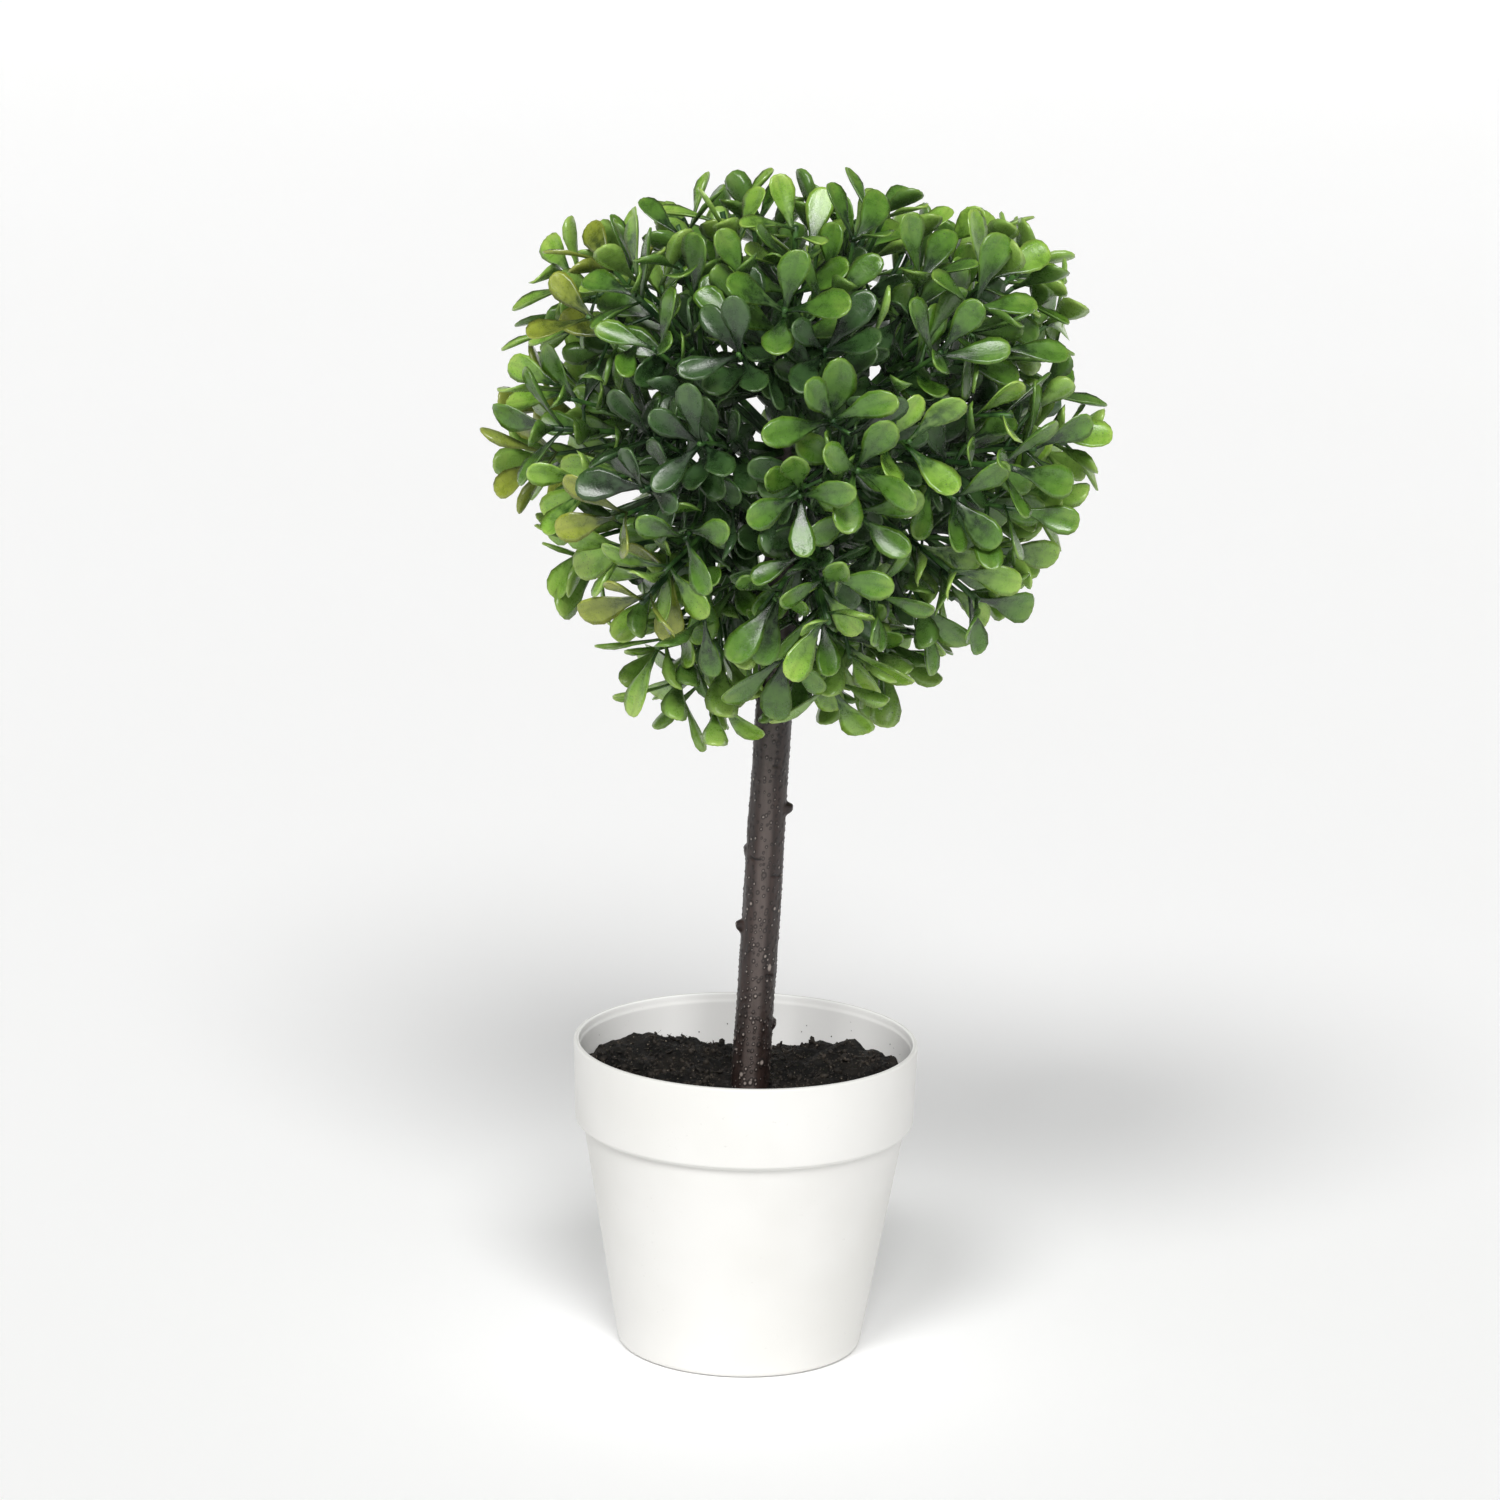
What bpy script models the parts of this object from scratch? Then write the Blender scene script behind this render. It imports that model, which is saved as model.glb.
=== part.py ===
"""Artificial boxwood ball on a stick, in a white banded pot.

A hollow tapered pot stands on its flat underside and is filled with soil. A stick with a slight lean rises
from the soil into the middle of the crown, and thirty sprays of moulded leaves radiate from its head. Each
spray keeps to its own share of the crown: a stem with two crosswise pairs of side shoots, all of them with
three pairs of leaves, each pair square to the last. Metres, +Z up. The origin is the centre of the pot's
underside.
"""
import math
import random

import bmesh
import bpy
import numpy as np

# The gap between solids that touch, and the angle past which an edge of a round piece is shaded sharp.
GAP = 0.0003
SHARP_ANGLE = math.radians(40)

# The pot is turned about the Z axis.
POT_HEIGHT = 0.0777
POT_RIM_RADIUS = 0.0425
POT_BAND_HEIGHT = 0.0202
POT_BAND_FOOT_RADIUS = 0.0418
POT_BAND_CHAMFER = 0.0010
POT_BODY_TOP_RADIUS = 0.0398
POT_FOOT_RADIUS = 0.0301
POT_FOOT_ROUND = 0.0018
POT_LIP_ROUND = 0.0005
POT_WALL = 0.0017
POT_FLOOR = 0.0022
POT_STEP_RISE = 0.0012
POT_SIDES = 48
POT_FOOT_STEPS = 2

# The soil lies nearly level, heaped a little against the wall, and is flat where the stick stands.
SOIL_LEVEL = 0.0660
SOIL_SEAT_RADIUS = 0.0075
SOIL_HEAP = 0.0016
SOIL_HEAP_BEARING = math.radians(130)
SOIL_BUMP = 0.0009
# The soil's two crossing waves, in turns of arc for each metre along X and along Y.
SOIL_WAVES = ((310, 270), (530, -410))
SOIL_RINGS = 4
SOIL_SIDES = 24

UPWARD = np.array((0.0, 0.0, 1.0))
STEEP = 0.9

# The stick: its axis at the soil and in the crown's middle, its radii there, and its knots.
CROWN_MIDDLE = np.array((0.0074, 0.0, 0.2260))
TRUNK_FOOT = np.array((0.0013, 0.0, SOIL_LEVEL + GAP))
TRUNK_FOOT_RADIUS = 0.00465
TRUNK_HEAD_RADIUS = 0.00445
TRUNK_SIDES = 12
TRUNK_STATIONS = 9
TRUNK_DOME_RINGS = 2
KNOT_HALF_HEIGHT = 0.0016
KNOT_HALF_ANGLE = math.radians(20)
# Where rings cross a knot, in half heights from its middle.
KNOT_STATIONS = (-1.6, -0.6, 0.6, 1.6)
# Height, bearing in degrees and how far it stands proud.
KNOTS = (
    (0.0823, 5, 0.0009),
    (0.1074, 186, 0.0012),
    (0.1265, 172, 0.0007),
    (0.1374, -4, 0.0013),
    (0.1660, 178, 0.0010),
)

# Rings of sprays, from the top down: name, elevation, count, bearing of the first.
SPRAY_RINGS = (
    ("top", 70, 3, 30),
    ("shoulder", 37, 7, 12),
    ("side", 4, 9, 0),
    ("under", -30, 7, 20),
    ("hanging", -62, 4, 25),
)
SPRAY_WANDER = 4.0
SEED = 16

# How far the leaf tips reach from the crown's middle, by elevation in degrees.
REACH_ELEVATIONS = (-90, -62, -45, -22, 0, 35, 62, 90)
REACH_LENGTHS = (0.073, 0.074, 0.069, 0.074, 0.078, 0.0835, 0.0745, 0.067)
REACH_SPREAD = 0.06
LOPSIDE = 0.035
# One spray at the front left hangs lower than the rest.
DROOPING_SPRAY = "spray_hanging_3"
DROOP = 1.08

SPACE_MARGIN = 0.00017
TRUNK_CLEARANCE = 0.0006
STEM_RADIUS = 0.0013
STEM_TIP_RADIUS = 0.0009
SHOOT_RADIUS = 0.0008
SHOOT_TIP_RADIUS = 0.0007
# The places of the two pairs of side shoots, as shares of the stem, and how far each fans out.
SHOOT_NODES = (0.34, 0.56)
SHOOT_FANS = (0.62, 0.55)
# A side shoot bows outwards: where along it, and by what share of its length.
SHOOT_BOW_PLACE = 0.45
SHOOT_BOW = 0.16
# How far a side shoot's end may stay below the crown's outline, and how far it and its leaves turn aside.
SHOOT_DEPTHS = (0.0, 0.009)
SHOOT_TURN = 0.2
LEAF_TURN = 0.4
STEM_STATIONS = 3
SHOOT_STATIONS = 3

LEAF_LENGTH = 0.0165
LEAF_LENGTH_SPREAD = 0.12
LEAF_WIDTH_SHARE = 0.49
LEAF_WIDEST = 0.68
LEAF_TIP_SHARE = 0.42
LEAF_CUP = 0.0009
LEAF_KEEL = 0.0004
LEAF_SINK = 0.0003
LEAF_LEAN = 50.0
LEAF_LEAN_SPREAD = 9.0
# How far back from a shoot's tip its leaf pairs stand.
PAIR_SETBACKS = (0.0010, 0.0034, 0.0125)
# How far a leaf keeps from the leaves and twigs of its spray, and the shares of their lengths that tell it.
LEAF_ROOM = 0.0021
LEAF_SAMPLES = (0.35, 0.6, 0.8)
TWIG_SAMPLES = (0.25, 0.5, 0.75, 1.0)
# Turns about the shoot and changes of lean tried in order, in degrees, until the leaf fits.
LEAF_TRIES = ((0, 0), (16, -6), (-16, -6), (32, -14), (-32, -14), (0, -22), (14, -34), (-14, -34))

WHITE_PLASTIC = ((0.86, 0.86, 0.84), 0.42)
BLACK_SOIL = ((0.016, 0.013, 0.011), 0.95)
BROWN_STICK = ((0.052, 0.036, 0.031), 0.55)
LEAF_GREENS = ((0.055, 0.190, 0.035), (0.038, 0.130, 0.040), (0.085, 0.230, 0.040))
LEAF_ROUGHNESS = 0.38


def clear_scene():
    """Remove every object that the file opened with."""
    for item in list(bpy.data.objects):
        bpy.data.objects.remove(item, do_unlink=True)


def material(name, color, roughness):
    """A plain finish: one base colour and one roughness, no metal."""
    finish = bpy.data.materials.new(name)
    finish.use_nodes = True
    shader = finish.node_tree.nodes["Principled BSDF"]
    shader.inputs["Base Color"].default_value = (*color, 1.0)
    shader.inputs["Roughness"].default_value = roughness
    shader.inputs["Metallic"].default_value = 0.0
    finish.diffuse_color = (*color, 1.0)
    return finish


def mesh_object(name, vertices, faces, finish=None):
    """An object in the scene from its corners and faces, turned so that its faces point out."""
    mesh = bpy.data.meshes.new(name)
    mesh.from_pydata([tuple(map(float, v)) for v in vertices], [], faces)
    shape = bmesh.new()
    shape.from_mesh(mesh)
    bmesh.ops.recalc_face_normals(shape, faces=shape.faces)
    shape.to_mesh(mesh)
    shape.free()
    item = bpy.data.objects.new(name, mesh)
    bpy.context.scene.collection.objects.link(item)
    if finish is not None:
        mesh.materials.append(finish)
    return item


def stacked_rings(rings, foot, head):
    """Corners and faces of rings of equal count, closed by a fan to a point below and one above."""
    sides = len(rings[0])
    vertices = [foot]
    faces = []
    for ring in rings:
        vertices.extend(ring)
    vertices.append(head)
    last = len(vertices) - 1
    for k in range(sides):
        n = (k + 1) % sides
        faces.append((0, 1 + n, 1 + k))
        for level in range(len(rings) - 1):
            low = 1 + level * sides
            faces.append((low + k, low + n, low + sides + n, low + sides + k))
        top = 1 + (len(rings) - 1) * sides
        faces.append((top + k, top + n, last))
    return vertices, faces


def level_circle(radius, height, sides):
    """A level ring of points about the Z axis."""
    turns = [math.tau * k / sides for k in range(sides)]
    return [(radius * math.cos(a), radius * math.sin(a), height) for a in turns]


def pot_inner_wall():
    """Radius and height of the pot's inner wall, from its floor to its lip."""
    band_foot = POT_HEIGHT - POT_BAND_HEIGHT
    return [
        (POT_FOOT_RADIUS - POT_WALL, POT_FLOOR),
        (POT_BODY_TOP_RADIUS - POT_WALL, band_foot - POT_BAND_CHAMFER + POT_STEP_RISE),
        (POT_BAND_FOOT_RADIUS - POT_WALL, band_foot + POT_STEP_RISE),
        (POT_RIM_RADIUS - POT_WALL, POT_HEIGHT - POT_LIP_ROUND),
    ]


def pot_profile():
    """The whole wall's section: foot, outer wall with its band, lip, and back down the inner wall."""
    profile = []
    flat = POT_FOOT_RADIUS - POT_FOOT_ROUND
    for step in range(POT_FOOT_STEPS + 1):
        a = math.pi / 2 * step / POT_FOOT_STEPS
        profile.append((flat + POT_FOOT_ROUND * math.sin(a), POT_FOOT_ROUND * (1 - math.cos(a))))
    band_foot = POT_HEIGHT - POT_BAND_HEIGHT
    profile.append((POT_BODY_TOP_RADIUS, band_foot - POT_BAND_CHAMFER))
    profile.append((POT_BAND_FOOT_RADIUS, band_foot))
    profile.append((POT_RIM_RADIUS, POT_HEIGHT - POT_LIP_ROUND))
    profile.append((POT_RIM_RADIUS - POT_LIP_ROUND, POT_HEIGHT))
    profile.append((POT_RIM_RADIUS - POT_WALL + POT_LIP_ROUND, POT_HEIGHT))
    profile.extend(reversed(pot_inner_wall()))
    return profile


def make_pot():
    """The pot: its section spun into rings, closed by the underside and by the floor inside."""
    rings = [level_circle(r, z, POT_SIDES) for r, z in pot_profile()]
    vertices, faces = stacked_rings(rings, (0, 0, 0), (0, 0, POT_FLOOR))
    pot = mesh_object("pot", vertices, faces, material("white_plastic", *WHITE_PLASTIC))
    pot.data.shade_smooth()
    pot.data.set_sharp_from_angle(angle=SHARP_ANGLE)


def soil_height(x, y):
    """Height of the soil: level, heaped towards the wall at the back left, with low crossing waves."""
    out = math.hypot(x, y) / POT_RIM_RADIUS
    heap = SOIL_HEAP * out * out * math.cos(math.atan2(y, x) - SOIL_HEAP_BEARING)
    (broad_x, broad_y), (fine_x, fine_y) = SOIL_WAVES
    bumps = math.sin(broad_x * x + 1) * math.cos(broad_y * y) + math.sin(fine_x * x + fine_y * y)
    return SOIL_LEVEL + heap + SOIL_BUMP * bumps * min(1.0, 2 * out)


def make_soil():
    """The soil: one body that fills the pot to a hair's breadth from its wall and floor."""
    wall = [(r - GAP, z + GAP) for r, z in pot_inner_wall()]
    heights = [z for _, z in wall]
    radii = [r for r, _ in wall]
    rings = [level_circle(r, z, SOIL_SIDES) for r, z in wall if z < SOIL_LEVEL]
    edge = float(np.interp(SOIL_LEVEL, heights, radii))
    for step in range(SOIL_RINGS):
        radius = edge + (SOIL_SEAT_RADIUS - edge) * step / (SOIL_RINGS - 1)
        ring = []
        for x, y, z in level_circle(radius, SOIL_LEVEL, SOIL_SIDES):
            if step < SOIL_RINGS - 1:
                z = soil_height(x, y)
            if step == 0:
                widen = float(np.interp(z, heights, radii)) / radius
                x *= widen
                y *= widen
            ring.append((x, y, z))
        rings.append(ring)
    vertices, faces = stacked_rings(rings, (0, 0, POT_FLOOR + GAP), (0, 0, SOIL_LEVEL))
    mesh_object("soil", vertices, faces, material("black_soil", *BLACK_SOIL))


def trunk_axis(height):
    """The point on the stick's straight leaning axis at a height."""
    share = (height - TRUNK_FOOT[2]) / (CROWN_MIDDLE[2] - TRUNK_FOOT[2])
    return TRUNK_FOOT + (CROWN_MIDDLE - TRUNK_FOOT) * share


def trunk_radius(height, bearing):
    """Radius of the stick: an even taper, plus a rounded swelling at each knot."""
    share = (height - TRUNK_FOOT[2]) / (CROWN_MIDDLE[2] - TRUNK_FOOT[2])
    radius = TRUNK_FOOT_RADIUS + (TRUNK_HEAD_RADIUS - TRUNK_FOOT_RADIUS) * share
    for knot_height, knot_bearing, proud in KNOTS:
        off = bearing - math.radians(knot_bearing)
        off = math.atan2(math.sin(off), math.cos(off)) / KNOT_HALF_ANGLE
        up = (height - knot_height) / KNOT_HALF_HEIGHT
        radius += proud * math.exp(-off * off - up * up)
    return radius


def make_trunk():
    """The stick: cut flat at the soil, straight, and rounded over in the crown's middle."""
    rings = []
    heights = {float(h) for h in np.linspace(TRUNK_FOOT[2], CROWN_MIDDLE[2], TRUNK_STATIONS)}
    for knot_height, _, _ in KNOTS:
        heights = {h for h in heights if abs(h - knot_height) > 2 * KNOT_HALF_HEIGHT}
        heights.update(knot_height + step * KNOT_HALF_HEIGHT for step in KNOT_STATIONS)
    for height in sorted(heights):
        centre = trunk_axis(height)
        ring = []
        for k in range(TRUNK_SIDES):
            a = math.tau * k / TRUNK_SIDES
            r = trunk_radius(height, a)
            ring.append((centre[0] + r * math.cos(a), centre[1] + r * math.sin(a), height))
        rings.append(ring)
    for step in range(1, TRUNK_DOME_RINGS + 1):
        lift = math.pi / 2 * step / (TRUNK_DOME_RINGS + 1)
        r = TRUNK_HEAD_RADIUS * math.cos(lift)
        z = TRUNK_HEAD_RADIUS * math.sin(lift)
        rings.append([tuple(CROWN_MIDDLE + np.array(p)) for p in level_circle(r, z, TRUNK_SIDES)])
    head = CROWN_MIDDLE + np.array((0, 0, TRUNK_HEAD_RADIUS))
    vertices, faces = stacked_rings(rings, tuple(TRUNK_FOOT), tuple(head))
    trunk = mesh_object("trunk", vertices, faces, material("brown_stick", *BROWN_STICK))
    trunk.data.shade_smooth()
    trunk.data.set_sharp_from_angle(angle=SHARP_ANGLE)


def unit(v):
    """The vector at length one."""
    return v / np.linalg.norm(v)


def toward(bearing, elevation):
    """The unit vector at a bearing and an elevation in degrees."""
    b = math.radians(bearing)
    e = math.radians(elevation)
    return np.array((math.cos(e) * math.cos(b), math.cos(e) * math.sin(b), math.sin(e)))


def crosswise(axis):
    """Two unit vectors square to an axis and to each other, the first level unless the axis is steep."""
    guide = UPWARD if abs(axis @ UPWARD) < STEEP else np.array((1.0, 0.0, 0.0))
    first = unit(np.cross(guide, axis))
    return first, np.cross(axis, first)


def crown_reach(heading):
    """How far the leaf tips reach from the crown's middle along a unit heading.

    The reach goes by elevation, and the crown is a little fuller towards +X than towards -X.
    """
    elevation = math.degrees(math.asin(max(-1.0, min(1.0, heading[2]))))
    return float(np.interp(elevation, REACH_ELEVATIONS, REACH_LENGTHS)) * (1 + LOPSIDE * heading[0])


def spray_headings():
    """Name and heading of every spray, ring by ring, each moved a little off its even place."""
    rng = random.Random(SEED)
    headings = {}
    for ring, elevation, count, first in SPRAY_RINGS:
        for k in range(count):
            bearing = first + 360 * k / count + rng.uniform(-SPRAY_WANDER, SPRAY_WANDER)
            tilt = elevation + rng.uniform(-SPRAY_WANDER, SPRAY_WANDER)
            headings[f"spray_{ring}_{k + 1}"] = toward(bearing, tilt)
    return headings


class OwnSpace:
    """The share of the crown that one spray keeps to.

    It is the cone of points nearer in heading to this spray than to any other, inside the reach of the leaf
    tips and clear of the stick.
    """

    def __init__(self, heading, others, reach_factor):
        self.heading = heading
        self.walls = np.array([unit(heading - other) for other in others])
        self.reach_factor = reach_factor
        self.taken = []

    def fan_limit(self, sideways):
        """The angle from the heading at which the cone ends in a sideways direction."""
        across = self.walls @ sideways
        along = self.walls @ self.heading
        return min(math.atan2(a, -c) for a, c in zip(along, across) if c < 0)

    def holds(self, points):
        """Whether all the points lie in the cone, within reach and clear of the stick."""
        rel = np.asarray(points) - CROWN_MIDDLE
        if (rel @ self.walls.T).min() < SPACE_MARGIN:
            return False
        far = np.linalg.norm(rel, axis=1)
        if far.min() < TRUNK_HEAD_RADIUS + GAP:
            return False
        if any(d > crown_reach(p / d) * self.reach_factor for p, d in zip(rel, far)):
            return False
        axis = unit(CROWN_MIDDLE - TRUNK_FOOT)
        along = rel @ axis
        out = np.linalg.norm(rel - np.outer(along, axis), axis=1)
        return not np.any((along < 0) & (out < TRUNK_FOOT_RADIUS + TRUNK_CLEARANCE))

    def has_room(self, points):
        """Whether the points keep their distance from the leaves that already stand in this space."""
        if not self.taken:
            return True
        taken = np.concatenate(self.taken)
        return np.linalg.norm(points[:, None] - taken[None], axis=2).min() > LEAF_ROOM


def curve(start, bend, end, stations):
    """Points along the quadratic curve from start to end that is drawn towards bend."""
    t = np.linspace(0.0, 1.0, stations)[:, None]
    return (1 - t) ** 2 * start + 2 * t * (1 - t) * bend + t ** 2 * end


def stem_start(heading):
    """Where a stem meets the stick: just clear of its head or of its side, along the heading."""
    axis = unit(CROWN_MIDDLE - TRUNK_FOOT)
    along = float(heading @ axis)
    distance = TRUNK_HEAD_RADIUS + GAP
    if along < 0:
        sideways = math.sqrt(1 - along * along)
        distance = (TRUNK_HEAD_RADIUS + GAP - STEM_RADIUS * along) / sideways
    return CROWN_MIDDLE + heading * distance


class Leaf:
    """One leaf: a root point, the direction it grows in, the side its face looks to, and its size."""

    def __init__(self, root, axis, face, length):
        self.root = root
        self.axis = axis
        self.face = face
        self.length = length
        self.across = np.cross(face, axis)
        self.half_width = length * LEAF_WIDTH_SHARE / 2

    def blade(self):
        """The blade's corners: its edges where it is widest, lifted off the midrib, and its blunt tip."""
        middle = self.root + self.axis * self.length * LEAF_WIDEST + self.face * LEAF_CUP
        tip = self.root + self.axis * self.length
        half = self.across * self.half_width
        return [middle - half, middle + half, tip + half * LEAF_TIP_SHARE, tip - half * LEAF_TIP_SHARE]

    def samples(self):
        """Points round the blade and along its middle, close enough to tell what it would touch."""
        left, right, tip_right, tip_left = self.blade()
        tip = (tip_left + tip_right) / 2
        points = [left, right, tip_left, tip_right, tip]
        for share in LEAF_SAMPLES:
            points.extend(self.root + (end - self.root) * share for end in (left, right, tip))
        points.extend(((left + tip_left) / 2, (right + tip_right) / 2))
        return np.array(points)

    def solid(self):
        """Six corners, eight faces: a root point sunk in the shoot, the cupped blade, and its keel below."""
        keel = self.root + self.axis * self.length * LEAF_WIDEST - self.face * LEAF_KEEL
        corners = [self.root - self.axis * LEAF_SINK, keel, *self.blade()]
        faces = [(0, 2, 3), (2, 5, 3), (5, 4, 3), (0, 1, 2), (0, 3, 1), (1, 5, 2), (1, 4, 5), (1, 3, 4)]
        return corners, faces


def grow_leaf(root, shoot_axis, roll, rng, space):
    """A leaf off a shoot at a roll about it, turned or raised until it fits its space, or None."""
    first, second = crosswise(shoot_axis)
    length = LEAF_LENGTH * (1 + rng.uniform(-LEAF_LENGTH_SPREAD, LEAF_LENGTH_SPREAD))
    lean = LEAF_LEAN + rng.uniform(-LEAF_LEAN_SPREAD, LEAF_LEAN_SPREAD)
    for turn, ease in LEAF_TRIES:
        r = roll + math.radians(turn)
        b = math.radians(lean + ease)
        out = first * math.cos(r) + second * math.sin(r)
        axis = shoot_axis * math.cos(b) + out * math.sin(b)
        face = shoot_axis * math.sin(b) - out * math.cos(b)
        leaf = Leaf(root, axis, face, length)
        points = leaf.samples()
        if space.holds(points) and space.has_room(points):
            space.taken.append(points)
            return leaf
    return None


def grow_pairs(path, roll, rng, space):
    """The leaf pairs of a shoot from its tip back, each square to the last: two close together, then one."""
    leaves = []
    backbone = Backbone(path)
    for pair, setback in enumerate(PAIR_SETBACKS):
        root, shoot_axis = backbone.at(setback)
        for side in range(2):
            leaf = grow_leaf(root, shoot_axis, roll + math.pi / 2 * pair + math.pi * side, rng, space)
            if leaf is not None:
                leaves.append(leaf)
    return leaves


class Backbone:
    """A path read by the distance back from its tip."""

    def __init__(self, path):
        self.path = path
        self.lengths = np.linalg.norm(np.diff(path, axis=0), axis=1)

    def at(self, setback):
        """The point that far back from the tip, and the path's direction there."""
        for step in range(len(self.lengths) - 1, -1, -1):
            axis = unit(self.path[step + 1] - self.path[step])
            if setback <= self.lengths[step] or step == 0:
                return self.path[step + 1] - axis * setback, axis
            setback -= self.lengths[step]

    def samples(self):
        """Points along the path, clear of its root, for the leaves to keep away from."""
        points = []
        for start, end in zip(self.path[:-1], self.path[1:]):
            points.extend(start + (end - start) * share for share in TWIG_SAMPLES)
        return np.array(points)


def grow_spray(name, heading, others):
    """The paths of one spray's stem and side shoots, and the leaves on them."""
    rng = random.Random(f"{SEED} {name}")
    space = OwnSpace(heading, others, DROOP if name == DROOPING_SPRAY else 1.0)
    tip_reach = LEAF_LENGTH * math.cos(math.radians(LEAF_LEAN))
    first, second = crosswise(heading)

    def shoot_end(line, depth):
        reach = crown_reach(line) * space.reach_factor * (1 - rng.uniform(0, REACH_SPREAD))
        return CROWN_MIDDLE + line * (reach - tip_reach - depth)

    roll = rng.uniform(0, math.tau)
    start = stem_start(heading)
    end = shoot_end(heading, 0.0)
    sway = (first * rng.uniform(-1, 1) + second * rng.uniform(-1, 1)) * STEM_RADIUS
    paths = [curve(start, (start + end) / 2 + sway, end, STEM_STATIONS)]
    rolls = [roll + math.pi / 4]
    for node, (share, fan) in enumerate(zip(SHOOT_NODES, SHOOT_FANS)):
        root = start + (end - start) * share + sway * 2 * share * (1 - share)
        for side in range(2):
            turn = roll + math.pi / 2 * node + math.pi * side + rng.uniform(-SHOOT_TURN, SHOOT_TURN)
            out = first * math.cos(turn) + second * math.sin(turn)
            angle = space.fan_limit(out) * fan
            line = heading * math.cos(angle) + out * math.sin(angle)
            tip = shoot_end(line, rng.uniform(*SHOOT_DEPTHS))
            bend = root + (tip - root) * SHOOT_BOW_PLACE + out * np.linalg.norm(tip - root) * SHOOT_BOW
            paths.append(curve(root, bend, tip, SHOOT_STATIONS))
            rolls.append(turn + rng.uniform(-LEAF_TURN, LEAF_TURN))
    space.taken.extend(Backbone(path).samples() for path in paths)
    leaves = []
    for path, turn in zip(paths, rolls):
        leaves.extend(grow_pairs(path, turn, rng, space))
    return paths, leaves


def twig_solid(path, root_radius, tip_radius):
    """A three-sided tapering twig along a path, flat at both ends, with one of its edges looking down."""
    first, second = crosswise(unit(path[-1] - path[0]))
    corners = []
    for step, point in enumerate(path):
        radius = root_radius + (tip_radius - root_radius) * step / (len(path) - 1)
        for k in range(3):
            a = math.tau * k / 3
            corners.append(point + radius * (first * math.sin(a) - second * math.cos(a)))
    faces = [(0, 2, 1)]
    for step in range(len(path) - 1):
        low = 3 * step
        for k in range(3):
            n = (k + 1) % 3
            faces.append((low + k, low + n, low + 3 + n, low + 3 + k))
    last = 3 * (len(path) - 1)
    faces.append((last, last + 1, last + 2))
    return corners, faces


def keep_one_body(item):
    """Fill sealed hollows and drop loose scraps: only the body with the most corners stays."""
    shape = bmesh.new()
    shape.from_mesh(item.data)
    unseen = set(shape.verts)
    bodies = []
    while unseen:
        body = set()
        front = [unseen.pop()]
        while front:
            vertex = front.pop()
            body.add(vertex)
            near = {edge.other_vert(vertex) for edge in vertex.link_edges} & unseen
            unseen -= near
            front.extend(near)
        bodies.append(body)
    bodies.sort(key=len)
    for body in bodies[:-1]:
        bmesh.ops.delete(shape, geom=list(body), context="VERTS")
    bmesh.ops.recalc_face_normals(shape, faces=shape.faces)
    shape.to_mesh(item.data)
    shape.free()


def make_spray(name, paths, leaves, finish):
    """One spray as a single solid: its shoots and leaves joined to its stem by one union.

    The exact solver leaves one of the sprays open, so the manifold solver joins them all.
    """
    stem = mesh_object(name, *twig_solid(paths[0], STEM_RADIUS, STEM_TIP_RADIUS))
    growth = bpy.data.collections.new(f"{name}_growth")
    bpy.context.scene.collection.children.link(growth)
    solids = [twig_solid(path, SHOOT_RADIUS, SHOOT_TIP_RADIUS) for path in paths[1:]]
    solids.extend(leaf.solid() for leaf in leaves)
    pieces = [mesh_object(f"{name}_piece", corners, faces) for corners, faces in solids]
    for piece in pieces:
        bpy.context.scene.collection.objects.unlink(piece)
        growth.objects.link(piece)
    union = stem.modifiers.new("union", "BOOLEAN")
    union.operation = "UNION"
    union.operand_type = "COLLECTION"
    union.collection = growth
    union.solver = "MANIFOLD"
    bpy.context.view_layer.update()
    joined = stem.evaluated_get(bpy.context.evaluated_depsgraph_get())
    mesh = bpy.data.meshes.new_from_object(joined)
    mesh.materials.append(finish)
    mesh.shade_flat()
    stem.modifiers.clear()
    stem.data = mesh
    for piece in pieces:
        bpy.data.objects.remove(piece, do_unlink=True)
    bpy.data.collections.remove(growth)
    keep_one_body(stem)


def build():
    """Make the pot, the soil, the stick and every spray."""
    clear_scene()
    make_pot()
    make_soil()
    make_trunk()
    greens = [material(f"leaf_green_{k + 1}", color, LEAF_ROUGHNESS) for k, color in enumerate(LEAF_GREENS)]
    headings = spray_headings()
    for k, (name, heading) in enumerate(headings.items()):
        others = [other for key, other in headings.items() if key != name]
        paths, leaves = grow_spray(name, heading, others)
        make_spray(name, paths, leaves, greens[k % len(greens)])


build()
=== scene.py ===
# %% [markdown]
# # A small artificial boxwood on a stick, in a white pot
# The plant is a hand and a half high: a white plastic pot with a banded rim, dark crumbly soil, a real stick
# with its bark on, and a ball of moulded leaves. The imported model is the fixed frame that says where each
# part is and how far it reaches. This script gives every part its fine surface and its finish.

# %% The frame, and the box that the looks have to stay in
import math
import random
from collections import namedtuple
from itertools import combinations

import bpy
import numpy as np
from mathutils import Matrix, Vector


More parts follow.
